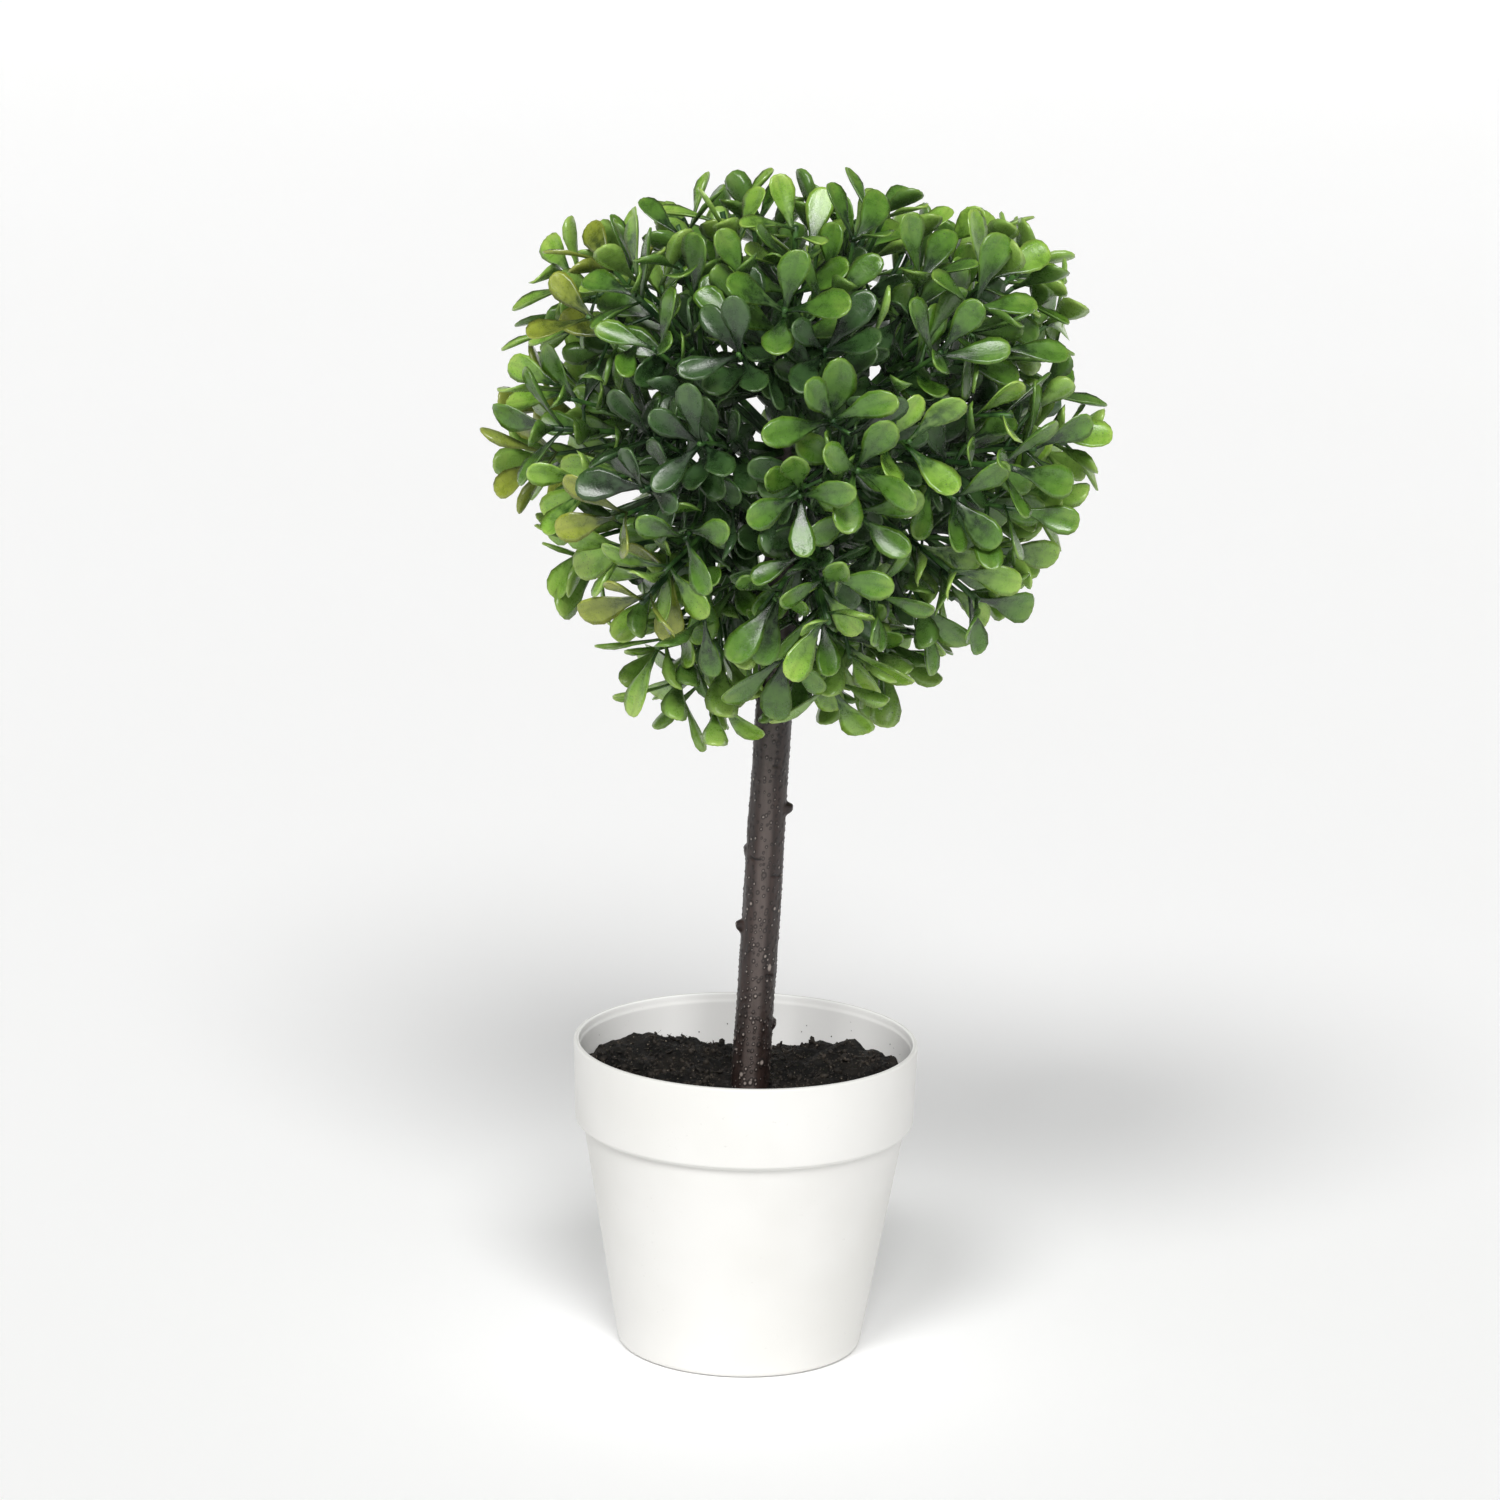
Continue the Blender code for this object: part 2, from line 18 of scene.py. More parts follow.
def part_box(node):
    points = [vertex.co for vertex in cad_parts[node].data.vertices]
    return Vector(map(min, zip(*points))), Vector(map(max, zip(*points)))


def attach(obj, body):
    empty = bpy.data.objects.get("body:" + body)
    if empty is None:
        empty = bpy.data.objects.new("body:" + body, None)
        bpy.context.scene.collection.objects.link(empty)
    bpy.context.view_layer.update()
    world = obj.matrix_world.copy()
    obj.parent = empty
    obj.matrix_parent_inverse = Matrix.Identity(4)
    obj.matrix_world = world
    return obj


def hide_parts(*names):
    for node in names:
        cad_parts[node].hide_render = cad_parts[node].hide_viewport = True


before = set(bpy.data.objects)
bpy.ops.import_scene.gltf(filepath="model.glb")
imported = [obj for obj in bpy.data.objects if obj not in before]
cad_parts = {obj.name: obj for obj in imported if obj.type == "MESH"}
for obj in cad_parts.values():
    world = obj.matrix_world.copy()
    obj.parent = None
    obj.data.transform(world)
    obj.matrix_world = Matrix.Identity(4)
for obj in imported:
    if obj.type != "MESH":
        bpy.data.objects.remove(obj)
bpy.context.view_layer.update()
SPRAYS = sorted(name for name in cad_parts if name.startswith("spray_"))
MM = 0.001

# %% [markdown]
# ## Arrays into meshes
# Blender can build a mesh face by face, or take whole arrays of points and corners at once. Arrays are
# chosen, since most pieces here are a formula on a grid, or one shape repeated a thousand times.

# %% From arrays to a piece that rides on the plant
MAP_NAME = "OFBake"


def unit(v):
    """Vectors at length one: each is divided by the root of the sum of its squares."""
    v = np.asarray(v, float)
    return v / np.linalg.norm(v, axis=-1, keepdims=True)


def together(*parts):
    """Points from arrays of their coordinates, each spread over the same grid."""
    return np.stack(np.broadcast_arrays(*parts), axis=-1)


def in_scene(name, data):
    """An object that holds the data, put into the scene."""
    made = bpy.data.objects.new(name, data)
    bpy.context.scene.collection.objects.link(made)
    return made


def smooth_object(name, points, faces, finish, uv=None, marks=None):
    """A smooth mesh object at the origin.

    points has one row a point. faces is a list of arrays with one row of corner numbers a face. uv has one
    place for each corner of each face, and marks are named numbers, one for each point.
    """
    mesh = bpy.data.meshes.new(name)
    points = np.asarray(points, np.float32).reshape(-1, 3)
    mesh.vertices.add(len(points))
    mesh.vertices.foreach_set("co", points.ravel())
    corners = np.concatenate([rows.ravel() for rows in faces]).astype(np.int32)
    counts = np.concatenate([np.full(len(rows), rows.shape[1]) for rows in faces])
    mesh.loops.add(len(corners))
    mesh.loops.foreach_set("vertex_index", corners)
    mesh.polygons.add(len(counts))
    mesh.polygons.foreach_set("loop_start", (np.cumsum(counts) - counts).astype(np.int32))
    mesh.update(calc_edges=True)
    if uv is not None:
        mesh.uv_layers.new(name=MAP_NAME).data.foreach_set("uv", np.asarray(uv, np.float32).ravel())
    for mark, values in (marks or {}).items():
        mesh.attributes.new(mark, "FLOAT", "POINT").data.foreach_set("value", values.astype(np.float32))
    mesh.shade_smooth()
    mesh.materials.append(finish)
    print(f"{name}: {len(points)} points, {(counts - 2).sum()} triangles")
    return in_scene(name, mesh)


def piece(name, points, faces, finish, slot, nodes=(), **carried):
    """A smooth object that rides on the plant and stands for the named nodes of the frame."""
    made = smooth_object(name, points, faces, finish, **carried)
    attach(made, "root")
    if nodes:
        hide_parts(*nodes)

# %% Corner numbers of tubes and repeated shapes
def tube_faces(rings, sides):
    """The quads between rings that are each closed on themselves: corner k, the next, and the two above."""
    low = np.arange(rings - 1)[:, None] * sides
    here = low + np.arange(sides)
    after = low + (np.arange(sides) + 1) % sides
    return np.stack([here, after, after + sides, here + sides], axis=-1).reshape(-1, 4)


def ring_caps(rings, sides):
    """Two faces of many corners that close a tube: the first ring turned over, and the last."""
    first = np.arange(sides)[::-1]
    last = (rings - 1) * sides + np.arange(sides)
    return np.stack([first, last])


def repeated(faces, count, stride):
    """The same faces for many shapes whose points follow each other, each shape a stride further on."""
    return (faces + stride * np.arange(count)[:, None, None]).reshape(-1, faces.shape[1])


def tubes(count, rings, sides):
    """The faces of closed tubes whose points follow each other: all their quads, then all their caps."""
    return [repeated(shape(rings, sides), count, rings * sides) for shape in (tube_faces, ring_caps)]


# %% [markdown]
# ## Shader maths as expressions
# A finish is a graph of nodes. Drawn by hand it hides its maths, and written node by node it is long. Here a
# small class wraps an output socket, so that `1 - mask` adds the node that works it out.

# %% Sockets that can be added and multiplied
def operator(operation, swapped=False):
    """A method that adds a Math node for a wire and one more number, swapped for the reflected form."""
    def method(self, other=0.0):
        operands = {0: other, 1: self} if swapped else {0: self, 1: other}
        return self.finish.node("ShaderNodeMath", {"operation": operation}, operands)

    return method


class Wire:
    """One output socket of a finish. Arithmetic on it adds a node that works it out."""

    def __init__(self, finish, socket):
        self.finish = finish
        self.socket = socket

    __add__ = __radd__ = operator("ADD")
    __mul__ = __rmul__ = operator("MULTIPLY")
    __sub__, __rsub__ = operator("SUBTRACT"), operator("SUBTRACT", swapped=True)
    floor, size, larger = operator("FLOOR"), operator("ABSOLUTE"), operator("MAXIMUM")

    def step(self, low, high):
        """A smooth rise from 0 where the number is low to 1 where it is high, or a fall if low is above."""
        ends = {0: self, 1: min(low, high), 2: max(low, high), 3: float(low > high), 4: float(low < high)}
        return self.finish.node("ShaderNodeMapRange", {"interpolation_type": "SMOOTHSTEP"}, ends)


class Finish:
    """A material: a Principled shader, what is the same all over it, and the nodes that vary it."""

    def __init__(self, name, **everywhere):
        self.material = bpy.data.materials.new(name)
        self.material.use_nodes = True
        self.tree = self.material.node_tree
        self.shader = self.tree.nodes["Principled BSDF"]
        for socket, value in everywhere.items():
            self.shader.inputs[socket.replace("_", " ")].default_value = value

    def node(self, kind, settings=None, values=None, output=0):
        """Any node: its settings first, then its sockets' values or links."""
        made = self.tree.nodes.new(kind)
        for key, value in (settings or {}).items():
            setattr(made, key, value)
        for key, value in (values or {}).items():
            if isinstance(value, Wire):
                self.tree.links.new(value.socket, made.inputs[key])
            else:
                made.inputs[key].default_value = value
        return Wire(self, made.outputs[output])

    def layers(self, base, *over):
        """A colour with others laid over it one after the other, each by its share."""
        for share, other in over:
            base = self.node("ShaderNodeMix", {"data_type": "RGBA"}, {0: share, 6: base, 7: other}, 2)
        return base

    def stretched(self, at, stretch):
        """A place with each of its numbers multiplied by one of its own."""
        return self.node("ShaderNodeVectorMath", {"operation": "MULTIPLY"}, {0: at, 1: stretch})

    def place(self, stretch=(1, 1, 1)):
        """The point on the piece in metres, stretched along each axis."""
        return self.stretched(self.node("ShaderNodeTexCoord", output="Object"), stretch)

    def noise(self, at, scale, detail=2.0, rough=0.5):
        """Cloudy numbers around a half, with that many blotches to a unit of the place."""
        values = {"Vector": at, "Scale": scale, "Detail": detail, "Roughness": rough}
        return self.node("ShaderNodeTexNoise", None, values)

    def mark(self, name):
        """The number that the mesh carries under that name."""
        return self.node("ShaderNodeAttribute", {"attribute_name": name}, output="Fac")

    def chance(self, number):
        """A fixed random number from 0 to 1 for each value of a number."""
        return self.node("ShaderNodeTexWhiteNoise", {"noise_dimensions": "1D"}, {"W": number})

    def coat(self, base, rough=None, height=None, depth=0.0):
        """The material: coloured, roughened, and with a relief where a height of one is depth metres tall."""
        values = {"Height": height, "Distance": depth, "Strength": 1.0}
        relief = height and self.node("ShaderNodeBump", None, values)
        for socket, wire in (("Base Color", base), ("Roughness", rough), ("Normal", relief)):
            if wire:
                self.tree.links.new(wire.socket, self.shader.inputs[socket])
        return self.material


def color(red, green, blue):
    """A colour as light, from its three values between 0 and 255 as a screen shows them."""
    shown = np.array((red, green, blue)) / 255
    light = np.where(shown <= 0.04045, shown / 12.92, ((shown + 0.055) / 1.055) ** 2.4)
    return (*light.tolist(), 1.0)

# %% Soft random heights for relief in a mesh, and curves
PRIMES, SEED_PRIME, MIXER = np.array((73856093, 19349663, 83492791)), 7919, 1274126177
MASK, TOP = 0xFFFF, 0x7FFFFFFF


def lattice_number(cells, seed):
    """A fixed random number from -1 to 1 for each whole-number cell: its coordinates hashed with a seed."""
    mixed = (cells * PRIMES[: cells.shape[-1]]).sum(axis=-1) + seed * SEED_PRIME
    mixed = (mixed ^ (mixed >> 13)) * MIXER & TOP
    return ((mixed ^ (mixed >> 15)) & MASK) / (MASK / 2) - 1


def smooth_step(share):
    """A share kept between 0 and 1 and eased at both ends: its square, times three less twice the share."""
    share = np.clip(share, 0, 1)
    return share * share * (3 - 2 * share)


def soft_noise(points, cell, seed):
    """Smooth random heights: the numbers at the corners of each cube of a lattice, blended across it."""
    scaled = np.asarray(points) / cell
    low = np.floor(scaled).astype(np.int64)
    share = smooth_step(scaled - low)
    total = np.zeros(len(scaled))
    for corner in np.ndindex(2, 2, 2):
        total += np.prod(np.where(corner, share, 1 - share), axis=1) * lattice_number(low + corner, seed)
    return total


def curved(start, bend, end, stations):
    """Quadratic curves from start to end, drawn towards bend: the three weighted by squares of shares."""
    t = np.linspace(0, 1, stations)[:, None]
    start, bend, end = (np.asarray(p)[..., None, :] for p in (start, bend, end))
    return (1 - t) ** 2 * start + 2 * t * (1 - t) * bend + t ** 2 * end


# %% [markdown]
# ## The pot
# The real pot is moulded in one piece of white plastic: a tapered body, a rim band that stands proud of it,
# and a thin lip. It could be bevelled from a cylinder. A turned section is chosen, because one list of
# rounded corners then holds every size of it.

# %% The pot's section, from the middle of its underside up and back down inside
POT_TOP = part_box("pot")[1]
POT_HEIGHT, RIM_RADIUS = POT_TOP.z, POT_TOP.x
BAND_FOOT = POT_HEIGHT - 20.2 * MM
INNER_FOOT = BAND_FOOT + 1.2 * MM
INNER_TOP = POT_HEIGHT - 2.3 * MM
MIDDLE_HOLE = 0.4 * MM
BAND_FOOT_RADIUS = RIM_RADIUS - 0.7 * MM
BODY_TOP_RADIUS = RIM_RADIUS - 2.7 * MM
FOOT_RADIUS = 30.1 * MM
WALL = 1.7 * MM
FLOOR = 2.2 * MM
POT_TURNS = 176


def rounded(corners, steps=5):
    """A section through corners (radius, height, rounding), each rounded off by a quadratic curve."""
    spots = np.array([corner[:2] for corner in corners])
    section = [spots[:1]]
    for before, here, after, (_, _, reach) in zip(spots, spots[1:], spots[2:], corners[1:]):
        start, end = (here + unit(other - here) * reach for other in (before, after))
        section.append(curved(start, here, end, steps))
    return np.concatenate([*section, spots[-1:]])


def round_axis(radius, turn, height):
    """Points round the upright axis: radius times cosine and sine of the turn, and the height."""
    return together(radius * np.cos(turn), radius * np.sin(turn), height)


def turned(section, turns):
    """A section of radii and heights spun about the upright axis."""
    return round_axis(section[:, 0, None], math.tau * np.arange(turns) / turns, section[:, 1, None])


pot_section = rounded([
    (MIDDLE_HOLE, 0.0, 0.0),
    (FOOT_RADIUS, 0.0, 1.5 * MM),
    (BODY_TOP_RADIUS, BAND_FOOT - 1.0 * MM, 0.35 * MM),
    (BAND_FOOT_RADIUS, BAND_FOOT, 0.6 * MM),
    (RIM_RADIUS, POT_HEIGHT - 0.02 * MM, 0.7 * MM),
    (RIM_RADIUS - 1.25 * MM, POT_HEIGHT, 0.45 * MM),
    (RIM_RADIUS - 1.45 * MM, POT_HEIGHT - 1.5 * MM, 0.3 * MM),
    (RIM_RADIUS - WALL, INNER_TOP, 0.3 * MM),
    (BAND_FOOT_RADIUS - WALL, INNER_FOOT, 0.4 * MM),
    (BODY_TOP_RADIUS - WALL, BAND_FOOT + 0.2 * MM, 0.4 * MM),
    (FOOT_RADIUS - WALL, FLOOR, 1.0 * MM),
    (MIDDLE_HOLE, FLOOR, 0.0),
])
pot_points = turned(pot_section, POT_TURNS)
inside = np.arange(len(pot_section)) > pot_section[:, 1].argmax()
print(f"pot section of {len(pot_section)} points, {inside.sum()} of them inside")

# %% [markdown]
# ## White moulded plastic
# White plastic isn't one white: it yellows and greys by a hair in soft clouds, catches dust, and has a faint
# grain from the mould. These are noise on the object's own place, and stay faint because the real pot looks
# clean. The inner wall is painted a lighter white, painted light that brightens it where less light reaches
# it, marked point by point in the mesh.

# %% The pot's finish, and the pot
def white_plastic():
    """Clean white with soft clouds, and dust where a fine and a broad noise are both high."""
    finish = Finish("white_plastic", IOR=1.46)
    at = finish.place()
    clouds = finish.noise(at, 26.0, 3.0)
    dust = finish.noise(at, 900.0).step(0.66, 0.78) * finish.noise(at, 60.0).step(0.5, 0.7)
    white = finish.layers(
        color(232, 231, 228),
        (clouds.step(0.35, 0.7), color(226, 225, 221)),
        # Painted light: the inner wall is painted a lighter white than the outside.
        (finish.mark("inside"), color(248, 247, 245)),
        (dust * 0.16, color(150, 145, 138)),
    )
    return finish.coat(white, clouds * 0.14 + 0.36, finish.noise(at, 1600.0), 0.012 * MM)


piece("pot_shell", pot_points, tubes(1, len(pot_section), POT_TURNS), white_plastic(), "pot_plastic", ["pot"],
      marks={"inside": np.repeat(inside, POT_TURNS)})

# %% [markdown]
# ## The soil
# The soil is dark and crumbly: banked up the wall at both sides, most at the back left, lower at the back,
# with lumps, grains and fibres. A texture alone would leave a smooth edge against the white wall, so the
# lumps are in the mesh, and the grains and fibres are small meshes of their own.

# %% The height of the soil, and its surface as rings from the wall to the middle
SOIL_LEVEL = 66.0 * MM
SOIL_FLOOR = 52.0 * MM
SOIL_HEAP = 1.6 * MM
SOIL_HEAP_BEARING = math.radians(130)
SOIL_BANK = 8.1 * MM
BANK_FROM, BANK_OVER = 0.05, 0.75
SOIL_DIP = 4.4 * MM
SOIL_BUMP = 0.54 * MM
SOIL_WAVES = ((310, 270), (530, -410))
SOIL_LUMPS = ((4.2 * MM, 0.4 * MM), (1.9 * MM, 0.45 * MM), (0.8 * MM, 0.3 * MM))
LUMP_SEED, STREWN_SEED = 11, 5
SOIL_RINGS, SOIL_TURNS = 84, 260
STICK_FOOT = np.array((1.3 * MM, 0.0, SOIL_LEVEL))
# Round the stick the lumps are calmer: from the least share at its bark to all of them further out.
CALM_RADIUS, CALM_START, CALM_LEAST = 6.0 * MM, 0.6, 0.25
WALL_GAP = 0.15 * MM
# The innermost ring and the ring at the foot, as shares of the outermost.
SOIL_MIDDLE, SOIL_FOOT_SHARE = 0.004, 0.93


def soil_height(x, y):
    """The level, a heap that grows with the square of the way out, banks at the sides, two waves and lumps.

    The banks grow with the cube of the way out. Round the pot they are a smooth step of how far to a side a
    spot lies, less a dip that leaves the wall bare at the back and front.
    """
    out = np.hypot(x, y) / RIM_RADIUS
    bearing = np.arctan2(y, x)
    heap = SOIL_HEAP * out * out * np.cos(bearing - SOIL_HEAP_BEARING)
    bank = SOIL_BANK * smooth_step((np.abs(np.cos(bearing)) - BANK_FROM) / BANK_OVER)
    (broad_x, broad_y), (fine_x, fine_y) = SOIL_WAVES
    waves = np.sin(broad_x * x + 1) * np.cos(broad_y * y) + np.sin(fine_x * x + fine_y * y)
    spots = together(x, y, 0.0).reshape(-1, 3)
    lumps = sum(depth * soft_noise(spots, cell, LUMP_SEED + k) for k, (cell, depth) in enumerate(SOIL_LUMPS))
    calm = np.clip(np.hypot(x - STICK_FOOT[0], y) / CALM_RADIUS - CALM_START, CALM_LEAST, 1)
    heap = heap + out ** 3 * (bank - SOIL_DIP) + SOIL_BUMP * waves * np.minimum(1, 2 * out)
    return SOIL_LEVEL + heap + lumps.reshape(x.shape) * calm


def inner_radius(height):
    """The inner wall's radius at a height inside the band."""
    share = (height - INNER_FOOT) / (INNER_TOP - INNER_FOOT)
    return BAND_FOOT_RADIUS - WALL + (RIM_RADIUS - BAND_FOOT_RADIUS) * share


edge = inner_radius(SOIL_LEVEL) - WALL_GAP
out_shares = np.linspace(1, SOIL_MIDDLE, SOIL_RINGS)
soil_top = turned(together(edge * out_shares, 0.0), SOIL_TURNS)
soil_top[..., 2] = soil_height(soil_top[..., 0], soil_top[..., 1])
spread = 1 + (inner_radius(soil_top[0, :, 2:]) - inner_radius(SOIL_LEVEL)) / edge
soil_top[0, :, :2] *= spread
soil_foot = soil_top[:1] * (SOIL_FOOT_SHARE, SOIL_FOOT_SHARE, 0) + (0, 0, SOIL_FLOOR)
soil_points = np.concatenate([soil_foot, soil_top])
print(f"soil from {soil_top[..., 2].min() * 1000:.1f} to {soil_top[..., 2].max() * 1000:.1f} mm up")

# %% Grains: one rough pebble of twenty faces, turned, squashed and strewn
GRAINS, WALL_GRAINS = 2300, 34
CHIPS_ONE_IN, CHIP_SHAPE = 11, (1.3, 0.6, 0.22)
# Least and most radius of a grain, a chip and a grain on the wall, in millimetres, and of the squashing.
GRAIN_SIZES, CHIP_SIZES, WALL_SIZES, SQUASHES = (0.14, 0.42), (0.7, 1.3), (0.08, 0.2), (0.55, 1.25)
# How much larger the few largest grains are, how far above the soil's level those on the wall begin, and how
# many millimetres they reach further up.
LARGE_GRAIN, WALL_LOW, WALL_SPAN = 1.6, 1.5 * MM, 7
strewn = np.random.default_rng(STREWN_SEED)


def scattered(count, least, most):
    """Spots on the soil, as many on each patch of it: the way out is the root of an even draw."""
    far = edge * np.sqrt(strewn.uniform(least, most, count))
    about = strewn.uniform(0, math.tau, count)
    x, y = far * np.cos(about), far * np.sin(about)
    return together(x, y, soil_height(x, y))


def pebble():
    """The twelve corners of an icosahedron, moved in and out by a fifth, and its faces: corners all near."""
    golden = (1 + math.sqrt(5)) / 2
    flat = [(0, a, b * golden) for a in (-1, 1) for b in (-1, 1)]
    corners = unit([p[k:] + p[:k] for k in range(3) for p in flat])
    apart = np.linalg.norm(corners[:, None] - corners, axis=2)
    near = apart < apart[apart > 0].min() * 1.01
    threes = combinations(range(12), 3)
    faces = np.array([(i, j, k) for i, j, k in threes if near[i, j] and near[j, k] and near[i, k]])
    a, b, c = (corners[faces[:, k]] for k in range(3))
    inward = (np.cross(b - a, c - a) * a).sum(axis=1) < 0
    faces[inward] = faces[inward][:, ::-1]
    return corners * (1 + 0.2 * lattice_number(np.arange(12)[:, None] + (0, 0), 3))[:, None], faces


pebble_corners, pebble_faces = pebble()
grain_spots = scattered(GRAINS, 0.02, 0.97)
grain_size = strewn.uniform(*GRAIN_SIZES, GRAINS) * (1 + LARGE_GRAIN * strewn.random(GRAINS) ** 6) * MM
chip = np.arange(GRAINS) % CHIPS_ONE_IN == 0
grain_size = np.where(chip, strewn.uniform(*CHIP_SIZES, GRAINS) * MM, grain_size)
grain_spots[:, 2] += 0.25 * grain_size
height = SOIL_LEVEL + WALL_LOW + strewn.uniform(0, 1, WALL_GRAINS) ** 2 * WALL_SPAN * MM
about = strewn.uniform(0, math.tau, WALL_GRAINS)
wall_size = strewn.uniform(*WALL_SIZES, WALL_GRAINS) * MM
far = inner_radius(height) - 0.4 * wall_size
spots = np.concatenate([grain_spots, round_axis(far, about, height)])
sizes = np.concatenate([grain_size, wall_size])
squash = strewn.uniform(*SQUASHES, (len(spots), 1, 3))
squash[:GRAINS][chip] = CHIP_SHAPE
shaped = pebble_corners * squash
# Turned by random quaternions of length one, (w, q): p becomes p + 2 q x (q x p - w p).
w, q = np.split(unit(strewn.normal(size=(len(spots), 1, 4))), [1], axis=2)
shaped = shaped + 2 * np.cross(q, np.cross(q, shaped) - w * shaped)
grain_points = spots[:, None] + shaped * sizes[:, None, None]
print(f"{len(spots)} grains, {WALL_GRAINS} of them stuck to the wall")

# %% Fibres: thin bent threads with four sides
FIBRES, FIBRE_STATIONS, FIBRE_SIDES = 420, 5, 4
FIBRE_SUNK, FIBRE_RISE = 0.3 * MM, 0.5 * MM
# In millimetres: the shortest, how much longer the longest is, how far they bend, least and most radius.
FIBRE_LEAST, FIBRE_MORE, FIBRE_BEND, FIBRE_RADII = 1.0, 2.4, 0.35, (0.04, 0.10)
# A fibre that would come this near to the wall within this length is turned inwards by so much.
WALL_SHARE, LOOK_AHEAD, TURN_IN = 0.97, 3 * MM, 1.3
# From this upright part on a direction is steep, and level ones are worked out from another guide.
STEEP = 0.9


def rings_along(paths, radii, sides):
    """Rings round paths: the centre plus the radius times two directions square to the path's chord.

    paths is (count, stations, 3) and radii (count, stations); the result is (count, stations, sides, 3).
    """
    chord = unit(paths[:, -1] - paths[:, 0])
    guide = np.where(np.abs(chord[:, 2:]) < STEEP, (0.0, 0.0, 1.0), (1.0, 0.0, 0.0))
    first = unit(np.cross(guide, chord))
    second = np.cross(chord, first)
    a = math.tau * np.arange(sides) / sides
    ring = np.cos(a)[:, None] * first[:, None] + np.sin(a)[:, None] * second[:, None]
    return paths[:, :, None] + radii[:, :, None, None] * ring[:, None]


fibre_root = scattered(FIBRES, 0.10, 0.97) - (0, 0, FIBRE_SUNK)
fibre_way = unit(strewn.normal(size=(FIBRES, 3)) * (1, 1, 0.35) + (0, 0, 0.25))
fibre_way[:, 2] = np.abs(fibre_way[:, 2])
inward = unit(-fibre_root * (1, 1, 0))
outside = np.linalg.norm((fibre_root + fibre_way * LOOK_AHEAD)[:, :2], axis=1) > edge * WALL_SHARE
fibre_way[outside] = unit(fibre_way[outside] + TURN_IN * inward[outside])
fibre_length = (FIBRE_LEAST + FIBRE_MORE * strewn.random(FIBRES) ** 2)[:, None] * MM
fibre_end = fibre_root + fibre_way * fibre_length
fibre_bend = (fibre_root + fibre_end) / 2 + strewn.normal(size=(FIBRES, 3)) * FIBRE_BEND * MM
fibre_bend = fibre_bend + (0, 0, FIBRE_RISE)
fibre_paths = curved(fibre_root, fibre_bend, fibre_end, FIBRE_STATIONS)
fibre_radii = strewn.uniform(*FIBRE_RADII, FIBRES)[:, None] * np.linspace(1, 0.5, FIBRE_STATIONS) * MM
fibre_points = rings_along(fibre_paths, fibre_radii, FIBRE_SIDES)

# %% The soil's finish: near black, brown where it is dry, with a few pale grains
def black_soil(name, pale_share, damp_color, dry_color):
    """Damp and dry earth by a soft noise, with pale flecks at the peaks of a fine one."""
    finish = Finish(name, IOR=1.3)
    at = finish.place()
    damp = finish.noise(at, 170.0, 4.0, 0.6)
    flecks = finish.noise(at, 1500.0, 1.0).step(0.70, 0.76)
    pale_fleck = flecks * pale_share, color(140, 130, 116)
    earth = finish.layers(damp_color, (damp.step(0.4, 0.75), dry_color), pale_fleck)
    return finish.coat(earth, 0.9 - damp * 0.5, finish.noise(at, 2400.0, 3.0, 0.7), 0.12 * MM)


soil_finish = black_soil("black_soil", 0.5, color(13, 12, 11), color(37, 33, 29))
piece("soil_surface", soil_points, tubes(1, SOIL_RINGS + 1, SOIL_TURNS), soil_finish, "soil", ["soil"])
piece("soil_grains", grain_points, [repeated(pebble_faces, len(spots), 12)],
      black_soil("soil_grain", 0.8, color(32, 29, 26), color(66, 59, 52)), "soil")
piece("soil_fibres", fibre_points, tubes(FIBRES, FIBRE_STATIONS, FIBRE_SIDES), soil_finish, "soil")

# %% [markdown]
# ## The stick
# The stem is a cut branch with its bark on: smooth and dark brown, with cut-off twigs for knots, small pale
# pores in loose rows, and short cracks across. It is a tube on a grid of height and turn, and each feature is
# one term that is added to the radius, so that the outline shows it too.

# %% The stick's axis, its radius, and the terms of its bark
CROWN_MIDDLE = np.array((7.4 * MM, 0.0, 226.0 * MM))
STICK_FOOT_RADIUS, STICK_HEAD_RADIUS = 4.65 * MM, 4.45 * MM
STICK_SUNK, STICK_OVER = 5.0 * MM, 3.0 * MM
KNOT_ABOVE, KNOT_BELOW, KNOT_HALF_ANGLE = 0.95 * MM, 1.9 * MM, 20
# Height, bearing in degrees and how far it stands proud.
KNOTS = ((82.3 * MM, 5, 0.95 * MM), (107.4 * MM, 186, 1.45 * MM), (126.5 * MM, 172, 0.6 * MM),
         (137.4 * MM, -4, 1.7 * MM), (166.0 * MM, 178, 1.0 * MM))
# Height, bearing and half width in degrees of the short cracks across the bark.
CRACKS = ((124.8 * MM, -121, 24), (120.6 * MM, -48, 22), (95.0 * MM, -48, 19), (148.5 * MM, -75, 12),
          (88.0 * MM, 60, 24), (113.0 * MM, 120, 22), (131.0 * MM, 40, 20), (143.0 * MM, 150, 26))
CRACK_WIDTH = 0.32 * MM
# Height, half height, and bearing and half width in degrees of a pale scrape above the third crack.
SCRAPE = (97.2 * MM, 1.2 * MM, -50, 9)
# Bearing and half width in degrees, and strength, of the greyer bands painted along the bark as a painted
# sheen: a painted highlight stripe up the front, and one at each of two other sides.
PAINTED_SHEEN_BANDS = ((-96, 21, 1.0), (28, 18, 0.7), (150, 24, 0.8))
# How tall or deep each kind of relief is, and for the first three the stretch, the width and a seed.
FURROWS, WAVES, WRINKLES, PORES, CRACK_DEPTH = 0.10 * MM, 0.16 * MM, 0.035 * MM, 0.20 * MM, 0.42 * MM
RELIEF_NOISES = ((0.12, 1.5 * MM, 21), (0.5, 6.0 * MM, 22), (2.2, 0.9 * MM, 23))
PORE_CELLS, PORE_ROWS_APART = 22, 1.45 * MM
# A pore's radius and its spread in millimetres, and how much narrower than long it is.
PORE_SIZE, PORE_SPREAD, PORE_SQUEEZE = 0.25, 0.08, 0.8
